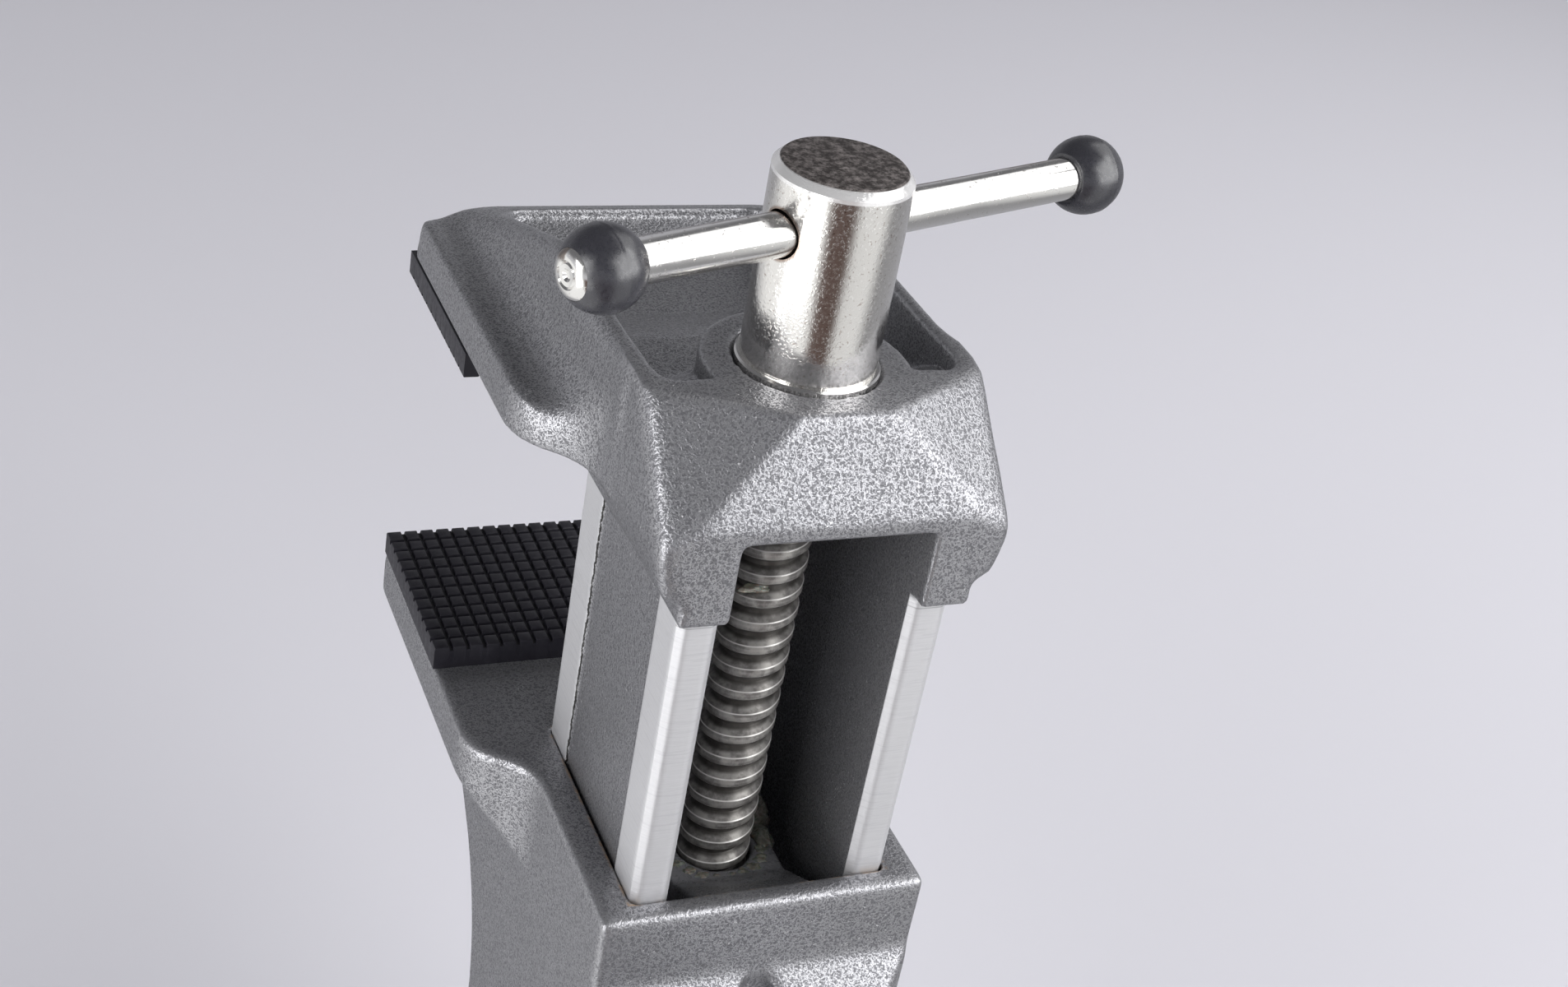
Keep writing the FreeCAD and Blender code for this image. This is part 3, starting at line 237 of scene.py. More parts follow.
def hammer_group():
    """The paint: pale cells on dark, flakes in them, and pale ridges, partly worn bare metal and partly a
    painted highlight of the rounded edges.
    """
    tree = bpy.data.node_groups.new("hammer_finish", "ShaderNodeTree")
    for label, kind, value in (("Light", "Color", PAINT_LIGHT), ("Dark", "Color", PAINT_DARK),
                               ("Ridge", "Float", 0.0)):
        socket = tree.interface.new_socket(label, in_out="INPUT", socket_type="NodeSocket" + kind)
        socket.default_value = value
    for label, kind in (("Color", "Color"), ("Roughness", "Float"), ("Metallic", "Float"),
                        ("Height", "Float")):
        tree.interface.new_socket(label, in_out="OUTPUT", socket_type="NodeSocket" + kind)
    given, out = tree.nodes.new("NodeGroupInput"), tree.nodes.new("NodeGroupOutput")
    cells = grain(tree, PAINT_CELL, 2.2, 0.6, 0.2)
    flakes = grain(tree, FLAKE, 1.0)
    pale = between(tree, sums(tree, "ABSOLUTE", sums(tree, "SUBTRACT", cells, 0.5)), 0.005, 0.115, 1.0, 0.0)
    pale = sums(tree, "MULTIPLY", pale, between(tree, flakes, 0.25, 0.7, 0.55, 1.0))
    # Ridges turn pale: partly worn paint, partly a painted highlight of the rounded edges.
    wear_and_highlight = sums(tree, "MULTIPLY", between(tree, given.outputs["Ridge"], 0.12, 0.8),
                between(tree, cells, 0.35, 0.58, 0.25, 1.0))
    pale = sums(tree, "MAXIMUM", pale, wear_and_highlight)
    colour = blended(tree, pale, given.outputs["Dark"], given.outputs["Light"])
    clouds = between(tree, grain(tree, CLOUD), 0.35, 0.7, 0.0, 0.12)
    # Small white specks: pale flakes in the paint, and painted glints on them.
    glint_specks = between(tree, grain(tree, SPECK, 1.0), 0.72, 0.76, 0.0, 0.7)
    colour = blended(tree, glint_specks, blended(tree, clouds, colour, PAINT_CLOUD), PAINT_GLINT_SPECK)
    tree.links.new(colour, out.inputs["Color"])
    tree.links.new(between(tree, pale, 0.0, 1.0, 0.42, 0.3), out.inputs["Roughness"])
    tree.links.new(between(tree, pale, 0.0, 1.0, 0.55, 0.85), out.inputs["Metallic"])
    tree.links.new(sums(tree, "ADD", cells, sums(tree, "MULTIPLY", flakes, 0.12)), out.inputs["Height"])
    return tree


hammer_finish = hammer_group()


def hammered(tree, light=PAINT_LIGHT, dark=PAINT_DARK):
    """The paint in a material, paler where its casting's mesh has a ridge: worn paint, and a painted
    highlight.
    """
    ridge = add(tree, "Attribute", {"attribute_name": "ridge"}).outputs["Fac"]
    return add(tree, "Group", {"node_tree": hammer_finish}, Light=light, Dark=dark, Ridge=ridge).outputs


def finish(tree, colour, rough, metal, height, relief, strength=1.0, **others):
    """A material's shader, with its surface raised by relief metres where height is 1."""
    bump = add(tree, "Bump", Strength=strength, Distance=relief, Height=height)
    surface(tree, add(tree, "BsdfPrincipled", Base_Color=colour, Roughness=rough, Metallic=metal,
                      Normal=bump.outputs[0], **others))


def copied(node, name):
    """A new object with a copy of a CAD node's mesh, its doubled corners joined."""
    shape = bmesh.new()
    shape.from_mesh(nodes[node].data)
    bmesh.ops.remove_doubles(shape, verts=shape.verts, dist=1e-6)
    shape.verts.index_update()
    piece = built(name, [vert.co for vert in shape.verts],
                  [[vert.index for vert in face.verts] for face in shape.faces])
    shape.free()
    return piece


def settle(piece):
    """Make a piece's modifiers part of its mesh."""
    graph = bpy.context.evaluated_depsgraph_get()
    mesh = bpy.data.meshes.new_from_object(piece.evaluated_get(graph), depsgraph=graph)
    piece.modifiers.clear()
    piece.data = mesh


def cast(node, name, face_size, rounds, shift=None):
    """A casting: the CAD node's form in small even faces, its edges rounded by smoothing.
    rounds(x, y, z) gives each place its number of rounds; shift moves the places first,
    where the real casting differs a little from the drawn form."""
    piece = copied(node, name)
    remesh = piece.modifiers.new("even_faces", "REMESH")
    remesh.mode = "VOXEL"
    remesh.voxel_size = face_size
    settle(piece)
    mesh = piece.data
    count = len(mesh.vertices)
    spots = np.empty(count * 3, np.float32)
    mesh.vertices.foreach_get("co", spots)
    spots = spots.reshape(-1, 3).astype(np.float64)
    if shift:
        spots = shift(spots)
    ends = np.empty(len(mesh.edges) * 2, np.int32)
    mesh.edges.foreach_get("vertices", ends)
    first = np.concatenate([ends[0::2], ends[1::2]])
    second = np.concatenate([ends[1::2], ends[0::2]])
    neighbours = np.maximum(np.bincount(first, minlength=count), 1)
    wanted = rounds(*spots.T)

    def middles(values):
        """The mean of each place's neighbours."""
        return np.bincount(first, weights=values[second], minlength=count) / neighbours

    for turn in range(int(math.ceil(wanted.max()))):
        share = 0.5 * np.clip(wanted - turn, 0.0, 1.0)
        for axis in range(3):
            spots[:, axis] += share * (middles(spots[:, axis]) - spots[:, axis])
    mesh.vertices.foreach_set("co", spots.astype(np.float32).ravel())
    mesh.update()
    normals = np.empty(count * 3, np.float32)
    mesh.vertices.foreach_get("normal", normals)
    hollow = np.stack([spots[:, axis] - middles(spots[:, axis]) for axis in range(3)], axis=1)
    bend = (hollow * normals.reshape(-1, 3)).sum(axis=1) / (face_size * face_size)
    for _ in range(RIDGE_BLUR):
        bend = 0.5 * bend + 0.5 * middles(bend)
    mesh.attributes.new("ridge", "FLOAT", "POINT").data.foreach_set(
        "value", np.clip(bend * RIDGE_GAIN, -1, 1).astype(np.float32))
    smooth(piece)
    return piece


def stands_for(piece, body, slot, material, *replaced):
    """Give a piece its body, its material and the CAD nodes that it stands for."""
    piece.data.materials.clear()
    piece.data.materials.append(material)
    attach(piece, body)
    if replaced:
        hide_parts(*replaced)


def foot_material():
    made, tree = new_material("foot_paint")
    paint = hammered(tree)
    finish(tree, paint["Color"], paint["Roughness"], paint["Metallic"], paint["Height"], PAINT_RELIEF)
    return made


foot_paint = foot_material()
foot_casting = cast("base_housing", "foot_casting", FOOT_FACE,
                    lambda x, y, z: np.full_like(x, FOOT_ROUNDS))
stands_for(foot_casting, "base", "hammered_paint", foot_paint, "base_housing")


# Rubber foot. The moulded sealing ring under the housing, and the disc's middle, which the
# stud lifts to hold the vise down. Soft black rubber, with the fine grain of its mould.

def moulded(name, colour, rough, grain_size, relief, sheen=0.5):
    """Rubber or plastic as its mould leaves it, with a little dust."""
    made, tree = new_material(name)
    fine = grain(tree, grain_size, 3.0, 0.6)
    dust = between(tree, grain(tree, 6 * MM, 3.0, 0.6), 0.45, 0.8, 0.0, 0.35)
    dusty = tuple(part * 1.8 + 0.012 for part in colour[:3]) + (1,)
    finish(tree, blended(tree, dust, colour, dusty),
           between(tree, fine, 0.3, 0.7, rough - 0.06, rough + 0.08), 0.0, fine, relief, 0.5,
           Specular_IOR_Level=sheen)
    return made


def dress(node, material):
    """Give a CAD node that stays its material."""
    for place in nodes[node].material_slots:
        place.material = material


FLAT_BEND, BEVEL_STEPS = 0.6, 3


def broken(piece, width, angle=32):
    """Break a piece's sharp edges, once its flat neighbours are joined."""
    shape = bmesh.new()
    shape.from_mesh(piece.data)
    bmesh.ops.dissolve_limit(shape, angle_limit=math.radians(FLAT_BEND), verts=shape.verts,
                             edges=shape.edges)
    shape.to_mesh(piece.data)
    shape.free()
    bevel = piece.modifiers.new("broken_edges", "BEVEL")
    bevel.width = width
    bevel.segments = BEVEL_STEPS
    bevel.limit_method = "ANGLE"
    bevel.angle_limit = math.radians(angle)
    settle(piece)
    smooth(piece, angle)
    return piece


foot_rubber = moulded("foot_rubber", (0.022, 0.022, 0.024, 1), 0.62, 0.7 * MM, 0.12 * MM)
stands_for(broken(copied("suction_cup", "foot_ring"), 0.5 * MM), "base", "black_rubber", foot_rubber,
           "suction_cup")
dress("suction_web", foot_rubber)


# Pull stud, cam shaft, bush, clip and pin. Turned and milled steel, zinc plated, and a
# sintered bronze bush. The cam lifts the stud, and the stud lifts the rubber.

def turned_metal(name, colour, rough, line, pitted):
    """Metal off a lathe or a mill: fine tool lines, and small pits in its plating."""
    made, tree = new_material(name)
    lines = grain(tree, line, 2.0, 0.6, where=add(
        tree, "Mapping", Vector=here(tree), Scale=(1, 1, 14)).outputs[0])
    pits = between(tree, grain(tree, 0.5 * MM, 1.5), 0.62, 0.7, 0.0, pitted)
    dark = tuple(part * 0.45 for part in colour[:3]) + (1,)
    clouded = blended(tree, between(tree, grain(tree, 4 * MM, 3.0), 0.3, 0.75, 0.0, 0.25), colour, dark)
    finish(tree, blended(tree, pits, clouded, dark),
           sums(tree, "ADD", between(tree, lines, 0.3, 0.7, rough * 0.8, rough * 1.2),
                sums(tree, "MULTIPLY", pits, 0.3)), 1.0, lines, 0.04 * MM, 0.25)
    return made


plated_steel = turned_metal("plated_steel", (0.60, 0.60, 0.61, 1), 0.3, 0.6 * MM, 0.3)
for node in ("pull_stud", "cam_shaft", "shaft_clip", "lever_pin"):
    dress(node, plated_steel)
dress("shaft_bush", turned_metal("bush_bronze", (0.55, 0.40, 0.22, 1), 0.38, 0.5 * MM, 0.5))


# Suction lever. A forged and plated steel arm on the shaft's end, with a moulded black grip
# that the hand turns over to draw the foot down.

lever_plate = turned_metal("lever_plate", (0.74, 0.74, 0.75, 1), 0.2, 1.2 * MM, 0.2)
stands_for(broken(copied("suction_lever", "lever_arm"), 0.6 * MM), "lever", "lever_chrome", lever_plate,
           "suction_lever")
dress("lever_grip", moulded("grip_plastic", (0.025, 0.025, 0.027, 1), 0.42, 0.4 * MM, 0.08 * MM))


# Ball joint. A ground steel ball with its stem, and the painted ring that holds it down with
# four socket screws. The set screw keeps the stem in the fixed jaw.

polished_steel = turned_metal("polished_steel", (0.66, 0.66, 0.67, 1), 0.13, 0.8 * MM, 0.15)
dress("ball_stem", polished_steel)
stands_for(broken(copied("socket_ring", "ball_ring"), 0.4 * MM), "base", "hammered_paint", foot_paint,
           "socket_ring")
for node in ("ring_screws", "stem_set_screw"):
    dress(node, plated_steel)


# Ball lock. A steel pad, the polished screw that presses it against the ball, and the
# screw's small sliding bar with two black plastic knobs.

dress("lock_pad", plated_steel)
stands_for(broken(copied("lock_screw", "lock_screw_turned"), 0.4 * MM), "lock_screw", "screw_steel",
           polished_steel, "lock_screw")
stands_for(broken(copied("lock_bar", "lock_bar_turned"), 0.2 * MM), "lock_handle", "bar_chrome",
           polished_steel, "lock_bar")
knob_plastic = moulded("knob_plastic", (0.024, 0.024, 0.031, 1), 0.3, 0.5 * MM, 0.03 * MM, 1.0)
for node in ("lock_knob_front", "lock_knob_back"):
    dress(node, knob_plastic)


# Fixed jaw. An aluminium casting, painted like the foot, with a machined square socket for the
# moving jaw's channel and a boss in it for the nut. Old grease darkens the boss.

AXIS_Y = 67 * MM
FACE_Z = 150 * MM
SOCKET_HALF = 21.87 * MM
SOCKET_MIDDLE = 2.8 * MM
SOCKET_DEEP = 22.02 * MM
NUT_BOSS = 13 * MM
FIXED_FACE = 0.55 * MM
CRISP_ROUNDS, BOSS_ROUNDS, SOFT_ROUNDS = 1, 4, 18
SOCKET_LIP = 1.6 * MM
GRIME_DARK, GRIME_PALE = (0.12, 0.12, 0.13, 1), (0.27, 0.27, 0.285, 1)
RUST = (0.42, 0.27, 0.14, 1)
# Where grime and rust fade: out from the screw's axis or the socket's edge, and below the face.
GRIME_OUT, GRIME_DOWN = (14.5 * MM, 16.5 * MM), (1.2 * MM, 2.2 * MM)
RUST_OUT, RUST_DOWN = (0.3 * MM, 0.8 * MM), (1.8 * MM, 0.8 * MM)


def soften(x, y, z):
    """The fixed jaw's machined socket and bores stay crisp; the rest is rounded off."""
    across, along = np.abs(x), np.abs(y - AXIS_Y - SOCKET_MIDDLE)
    outside = np.maximum(across - SOCKET_HALF, along - SOCKET_DEEP)
    rounds = CRISP_ROUNDS + (SOFT_ROUNDS - CRISP_ROUNDS) * np.clip(outside / SOCKET_LIP, 0.0, 1.0)
    rounds[(np.hypot(x, y - AXIS_Y) < NUT_BOSS) & (z < FACE_Z - 1 * MM)] = BOSS_ROUNDS
    return rounds


def coordinate(tree):
    made = add(tree, "SeparateXYZ", Vector=here(tree))
    return made.outputs["X"], made.outputs["Y"], made.outputs["Z"]


def length(tree, first, second):
    """How far two steps at a right angle lead."""
    squares = [sums(tree, "MULTIPLY", part, part) for part in (first, second)]
    return sums(tree, "SQRT", sums(tree, "ADD", *squares))


def mixed(tree, share, first, second):
    """A mix of two numbers."""
    return add(tree, "Mix", {"data_type": "FLOAT"}, _0=share, _2=first, _3=second).outputs[0]


def fixed_jaw_material():
    made, tree = new_material("fixed_jaw_paint")
    paint = hammered(tree)
    x, y, z = coordinate(tree)
    reach = length(tree, x, sums(tree, "SUBTRACT", y, AXIS_Y))
    ragged = sums(tree, "MULTIPLY", grain(tree, 4 * MM, 3.0, 0.6), 4 * MM)
    down = sums(tree, "SUBTRACT", FACE_Z, z)
    grime = between(tree, sums(tree, "ADD", reach, ragged), *GRIME_OUT, 1.0, 0.0)
    grime = sums(tree, "MULTIPLY", grime, between(tree, down, *GRIME_DOWN))
    side = sums(tree, "SUBTRACT", sums(tree, "ABSOLUTE", x), SOCKET_HALF)
    end = sums(tree, "SUBTRACT", sums(tree, "ABSOLUTE", sums(
        tree, "SUBTRACT", y, AXIS_Y + SOCKET_MIDDLE)), SOCKET_DEEP)
    edge = sums(tree, "ABSOLUTE", sums(tree, "MAXIMUM", side, end))
    rust = sums(tree, "MULTIPLY", between(tree, edge, *RUST_OUT, 1.0, 0.0),
                between(tree, grain(tree, 3 * MM, 3.0, 0.7), 0.42, 0.62))
    rust = sums(tree, "MULTIPLY", rust, between(tree, down, *RUST_DOWN))
    smear = grain(tree, 1.6 * MM, 4.0, 0.65, 0.8)
    colour = blended(tree, grime, paint["Color"], blended(tree, smear, GRIME_DARK, GRIME_PALE))
    colour = blended(tree, sums(tree, "MULTIPLY", rust, 0.8), colour, RUST)
    rough = mixed(tree, grime, paint["Roughness"], between(tree, smear, 0.3, 0.7, 0.18, 0.5))
    metal = sums(tree, "MULTIPLY", paint["Metallic"],
                 sums(tree, "SUBTRACT", 1.0, sums(tree, "MAXIMUM", grime, rust)))
    finish(tree, colour, rough, metal, paint["Height"], PAINT_RELIEF)
    return made


stands_for(cast("fixed_jaw", "fixed_jaw_casting", FIXED_FACE, soften), "head", "hammered_paint",
           fixed_jaw_material(), "fixed_jaw")


# Rubber pads. Two moulded black pads with a grid of raised square cells, pressed onto the
# jaws so that they grip the work without marking it.

PAD_HALF = 37.5 * MM
PAD_START = 44.0 * MM
PAD_DEEP = 37.0 * MM
PAD_HIGH = 4.4 * MM
PAD_RIM = 0.12 * MM
CELL_HIGH = 0.8 * MM
CELLS_ACROSS, CELLS_ALONG = 25, 12
# Half of a cell, as shares of its width and of its height, and how high the pad's rim stands.
HALF_CELL = ((0.0, 0.0), (0.10, 0.0), (0.37 / 3, 0.72), (0.46 / 3, 0.9), (0.70 / 3, 1.0), (0.5, 1.0))
RIM_OUT, RIM_IN = 0.55, 0.85
JAW_Z = FACE_Z + 62.4 * MM


def cell_line(length_on, count):
    """Places across a row of cells, each with how high the rubber stands there, 0 to 1. The
    rim takes the place of the outermost half grooves."""
    whole_cell = HALF_CELL + tuple((1.0 - step, rise) for step, rise in HALF_CELL[-2::-1])
    pitch = length_on / count
    places = [((cell + step) * pitch, rise) for cell in range(count) for step, rise in whole_cell]
    kept = [places[0]] + [now for before, now in zip(places, places[1:]) if now[0] - before[0] > 1e-7]
    start, end = [(0.0, RIM_OUT), (PAD_RIM, RIM_IN)], [(length_on - PAD_RIM, RIM_IN), (length_on, RIM_OUT)]
    return start + kept[3:-3] + end


def pad(name, base, way):
    """One pad: its back lies at height base, and its cells point up (way 1) or down (-1)."""
    columns, rows = cell_line(2 * PAD_HALF, CELLS_ACROSS), cell_line(PAD_DEEP, CELLS_ALONG)
    points = [(across - PAD_HALF, AXIS_Y + PAD_START + along,
               base + way * (PAD_HIGH - CELL_HIGH * (1 - min(rise, lift))))
              for along, rise in rows for across, lift in columns]
    wide, tall = len(columns), len(rows)
    faces = [(j * wide + i, j * wide + i + 1, (j + 1) * wide + i + 1, (j + 1) * wide + i)
             for j in range(tall - 1) for i in range(wide - 1)]
    rim = (list(range(wide)) + [j * wide + wide - 1 for j in range(1, tall)]
           + [(tall - 1) * wide + i for i in range(wide - 2, -1, -1)]
           + [j * wide for j in range(tall - 2, 0, -1)])
    start, count = len(points), len(rim)
    points += [(points[i][0], points[i][1], base) for i in rim]
    faces += [(rim[k], start + k, start + (k + 1) % count, rim[(k + 1) % count]) for k in range(count)]
    faces.append(tuple(start + k for k in range(count - 1, -1, -1)))
    if way < 0:
        faces = [tuple(reversed(face)) for face in faces]
    return built(name, points, faces, 28)


pad_rubber = moulded("pad_rubber", (0.015, 0.014, 0.020, 1), 0.42, 0.9 * MM, 0.08 * MM)
stands_for(pad("fixed_pad", FACE_Z, 1), "head", "pad_rubber", pad_rubber, "fixed_jaw_pad")
stands_for(pad("moving_pad", JAW_Z, -1), "jaw", "pad_rubber", pad_rubber, "moving_jaw_pad")


# Moving jaw. One painted casting with the jaw, the hood over its top and the square channel.
# The channel's corners are milled after painting, which leaves bare bright strips.

MOVING_FACE = 0.45 * MM
MILLED_TOP = 8.3 * MM
# Where the form is softened: ranges in millimetres to the side of the screw's axis, in front
# of it or behind it, out from it, and up from the jaw's face.
CORNER_SIDE, CORNER_FRONT, CORNER_UP, CORNER_ROUNDS = (18.5, 23), (1, 6), (-7, -3), 50
VALLEY_SIDE, VALLEY_BACK, VALLEY_UP, VALLEY_ROUNDS = (23.5, 27), (4, 10), (1, 3), 110
RECESS_OUT, RECESS_END, RECESS_UP, RECESS_ROUNDS = (13, 15), (-24, -20), (5, 8), 110
RECESS_TOP, RECESS_START = (-20, -17), -3.5
HOOD_ROUNDS, CHANNEL_ROUNDS, SEAT_ROUNDS = 11.0, 1, 1.5
CHANNEL_UP, CHANNEL_SIDE, CHANNEL_BACK, CHANNEL_FRONT, SEAT_REACH = 4.6, 15.6, 18.6, -19, 12.6
# The washer's pocket, and the recess's front end, where its floor rises to the rim.
POCKET_IN, POCKET_OUT, POCKET_FADE = 11.5 * MM, 14.5 * MM, 2.25 * MM
POCKET_LOW, POCKET_PULL = 20.5 * MM, 0.9 * MM
END_FAR, END_NEAR, END_FRONT = -14 * MM, -3 * MM, -4.6 * MM
END_SIDE_IN, END_SIDE_OUT, END_REACH = 9 * MM, 24.8 * MM, 15.6 * MM
END_FLOOR, END_RIM, END_SHARE = 5 * MM, 20 * MM, 0.8
JAW_LIGHT, JAW_DARK = (0.475, 0.475, 0.495, 1), (0.155, 0.155, 0.166, 1)
BARE_BRIGHT, BARE_DULL = (0.70, 0.70, 0.715, 1), (0.62, 0.62, 0.635, 1)
SCORE, LIP_SHADE = (0.5, 0.5, 0.52, 1), (0.3, 0.3, 0.31, 1)
TORN_EDGE = (0.035, 0.034, 0.033, 1)
# Where the mill has cut: to the side of the screw's axis, in front of it and behind it.
MILLED_SIDE, MILLED_FRONT = (21.28 * MM, 21.38 * MM), (-17.80 * MM, -17.86 * MM)
MILLED_BACK, MILLED_FADE = (24.45 * MM, 24.50 * MM), 0.2 * MM
# The dark line across the front strips' upper ends, a painted shade of the small step there, and the torn
# dark edge beside the back ones: their places, half widths and ends.
LIP_LOW, LIP_WIDE, LIP_FRONT = 10.6 * MM, (0.05 * MM, 0.14 * MM), (-17.6 * MM, -17.8 * MM)
TORN_BACK, TORN_WIDE, TORN_SIDE = 16.2 * MM, (0.1 * MM, 0.26 * MM), (20.8 * MM, 21.1 * MM)
TORN_FADE = 0.7 * MM


def ramp_up(value, low, high):
    return np.clip((value - low) / (high - low), 0.0, 1.0)


def round_hood(x, y, z):
    """The hood is well rounded, its corners and the jaw's side valley more so; the milled
    channel and the screw's seat stay crisp. All in millimetres from the jaw's face."""
    up, over, side = (z - JAW_Z) / MM, (y - AXIS_Y) / MM, np.abs(x) / MM
    reach = np.hypot(side, over)
    rounds = np.full_like(x, HOOD_ROUNDS)
    rounds += CORNER_ROUNDS * (ramp_up(side, *CORNER_SIDE) * ramp_up(-over, *CORNER_FRONT)
                               * ramp_up(up, *CORNER_UP))
    rounds += VALLEY_ROUNDS * (ramp_up(side, *VALLEY_SIDE) * ramp_up(over, *VALLEY_BACK)
                               * ramp_up(up, *VALLEY_UP))
    rounds += RECESS_ROUNDS * (ramp_up(reach, *RECESS_OUT) * ramp_up(-reach, *RECESS_END)
                               * ramp_up(up, *RECESS_UP) * ramp_up(-up, *RECESS_TOP)
                               * (over > RECESS_START))
    rounds[(up < CHANNEL_UP) & (side < CHANNEL_SIDE) & (over < CHANNEL_BACK)
           & (over > CHANNEL_FRONT)] = CHANNEL_ROUNDS
    rounds[up < -MILLED_TOP / MM] = 0
    rounds[(reach < SEAT_REACH) & (up > 0)] = SEAT_ROUNDS
    return rounds


def tighten(spots):
    """The washer's pocket in the hood is a close fit, and the hood's recess runs out
    towards its front, where the boss joins the rim."""
    over = spots[:, 1] - AXIS_Y
    reach = np.hypot(spots[:, 0], over)
    pull = np.clip((POCKET_OUT - reach) / POCKET_FADE, 0, 1) * (reach > POCKET_IN)
    pull = pull * (spots[:, 2] > JAW_Z + POCKET_LOW) * POCKET_PULL / np.maximum(reach, MM)
    spots[:, 0] -= spots[:, 0] * pull
    spots[:, 1] -= over * pull
    up, side = spots[:, 2] - JAW_Z, np.abs(spots[:, 0])
    filled = ramp_up(-over, END_FAR, END_NEAR) * (over > END_FRONT) * (side > END_SIDE_IN)
    filled = filled * (side < END_SIDE_OUT) * (reach > END_REACH) * (up > END_FLOOR) * (up < END_RIM)
    spots[:, 2] += filled * (END_RIM - up) * END_SHARE
    return spots


def line_at(tree, value, centre, near, far, most=1.0):
    """A line where value is centre: full nearer than near, and gone beyond far."""
    away = sums(tree, "ABSOLUTE", sums(tree, "SUBTRACT", value, centre))
    return between(tree, away, near, far, most, 0.0)


def jaw_material():
    made, tree = new_material("moving_jaw_paint")
    paint = hammered(tree, JAW_LIGHT, JAW_DARK)
    x, y, z = coordinate(tree)
    ragged = sums(tree, "MULTIPLY", grain(tree, 1.2 * MM, 4.0, 0.7), 0.4 * MM)
    side = sums(tree, "SUBTRACT", sums(tree, "ABSOLUTE", x), ragged)
    over = sums(tree, "SUBTRACT", y, AXIS_Y)
    down = sums(tree, "SUBTRACT", JAW_Z - MILLED_TOP, z)
    milled = between(tree, side, *MILLED_SIDE)
    milled = sums(tree, "MAXIMUM", milled, between(tree, over, *MILLED_FRONT))
    milled = sums(tree, "MAXIMUM", milled, between(tree, over, *MILLED_BACK))
    milled = sums(tree, "MULTIPLY", milled, between(tree, down, 0.0, MILLED_FADE))
    turned = add(tree, "Mapping", Vector=here(tree), Rotation=(0.5, 0.55, 0.0), Scale=(1, 1, 18)).outputs[0]
    marks = grain(tree, 4.5 * MM, 3.0, 0.65, where=turned)
    scores = between(tree, grain(tree, 9 * MM, 2.0, 0.5, where=turned), 0.60, 0.64, 0.0, 0.2)
    bare = blended(tree, between(tree, marks, 0.3, 0.7, 0.0, 0.35), BARE_BRIGHT, BARE_DULL)
    bare = blended(tree, scores, bare, SCORE)
    # Painted shade: a dark line where a small machined step crosses the front strips.
    lip_shade = line_at(tree, z, JAW_Z - LIP_LOW, *LIP_WIDE, 0.6)
    lip_shade = sums(tree, "MULTIPLY", lip_shade, between(tree, over, *LIP_FRONT))
    colour = blended(tree, milled, paint["Color"], blended(tree, lip_shade, bare, LIP_SHADE))
    fray = sums(tree, "SUBTRACT", grain(tree, 1.6 * MM, 4.0, 0.7), 0.5)
    frayed = sums(tree, "ADD", over, sums(tree, "MULTIPLY", fray, 1.2 * MM))
    torn = line_at(tree, frayed, TORN_BACK, *TORN_WIDE)
    torn = sums(tree, "MULTIPLY", torn, between(tree, down, 0.0, TORN_FADE))
    torn = sums(tree, "MULTIPLY", torn, between(tree, side, *TORN_SIDE))
    finish(tree, blended(tree, torn, colour, TORN_EDGE),
           mixed(tree, milled, paint["Roughness"], between(tree, marks, 0.3, 0.7, 0.48, 0.6)),
           mixed(tree, milled, paint["Metallic"], 0.75),
           mixed(tree, milled, paint["Height"], sums(tree, "MULTIPLY", marks, 0.25)), PAINT_RELIEF)
    return made


moving_casting = cast("moving_jaw", "moving_jaw_casting", MOVING_FACE, round_hood, tighten)
smooth(moving_casting, 24)
stands_for(moving_casting, "jaw", "jaw_casting", jaw_material(), "moving_jaw")


# Nut, collar, pin and washer. Plain turned steel inside the castings, and the bright ground
# thrust washer that shows as a thin ring round the screw's head.

WASHER_STEPS = 128
# Radii and heights over the jaw's face, in millimetres.
WASHER_LINE = ((6.5, 21.1), (10.7, 21.1), (10.85, 21.25), (10.85, 22.35), (10.6, 22.65), (10.3, 22.7),
               (6.5, 22.7))


def ring(name, outline, around):
    """A ring turned about the screw's axis; its outline runs round as radius and height."""
    points = [(radius * math.cos(2 * math.pi * step / around),
               AXIS_Y + radius * math.sin(2 * math.pi * step / around), height)
              for radius, height in outline for step in range(around)]
    count = len(outline)
    faces = [(row * around + step, row * around + (step + 1) % around,
              (row + 1) % count * around + (step + 1) % around, (row + 1) % count * around + step)
             for row in range(count) for step in range(around)]
    return built(name, points, faces, 35)


for node in ("screw_nut", "screw_collar", "collar_pin"):
    dress(node, plated_steel)
washer = ring("bright_washer", [(radius * MM, JAW_Z + height * MM) for radius, height in WASHER_LINE],
              WASHER_STEPS)
stands_for(washer, "jaw", "washer_steel",
           turned_metal("washer_steel", (0.80, 0.79, 0.77, 1), 0.14, 0.9 * MM, 0.1), "thrust_washer")


# Jaw screw. Turned from one bar: a coarse right-hand thread with broad rounded crests, and a
# cross-bored head that is nickel plated. The end of the head is left rough and dark.

PITCH = 4.4 * MM
THREAD_LOW = JAW_Z - 119.4 * MM
THREAD_HIGH = JAW_Z - 6.0 * MM
THREAD_STEPS = 96
THREAD_FADE, THREAD_INTO = 1.5 * MM, 0.2 * MM
ROOT = 4.7
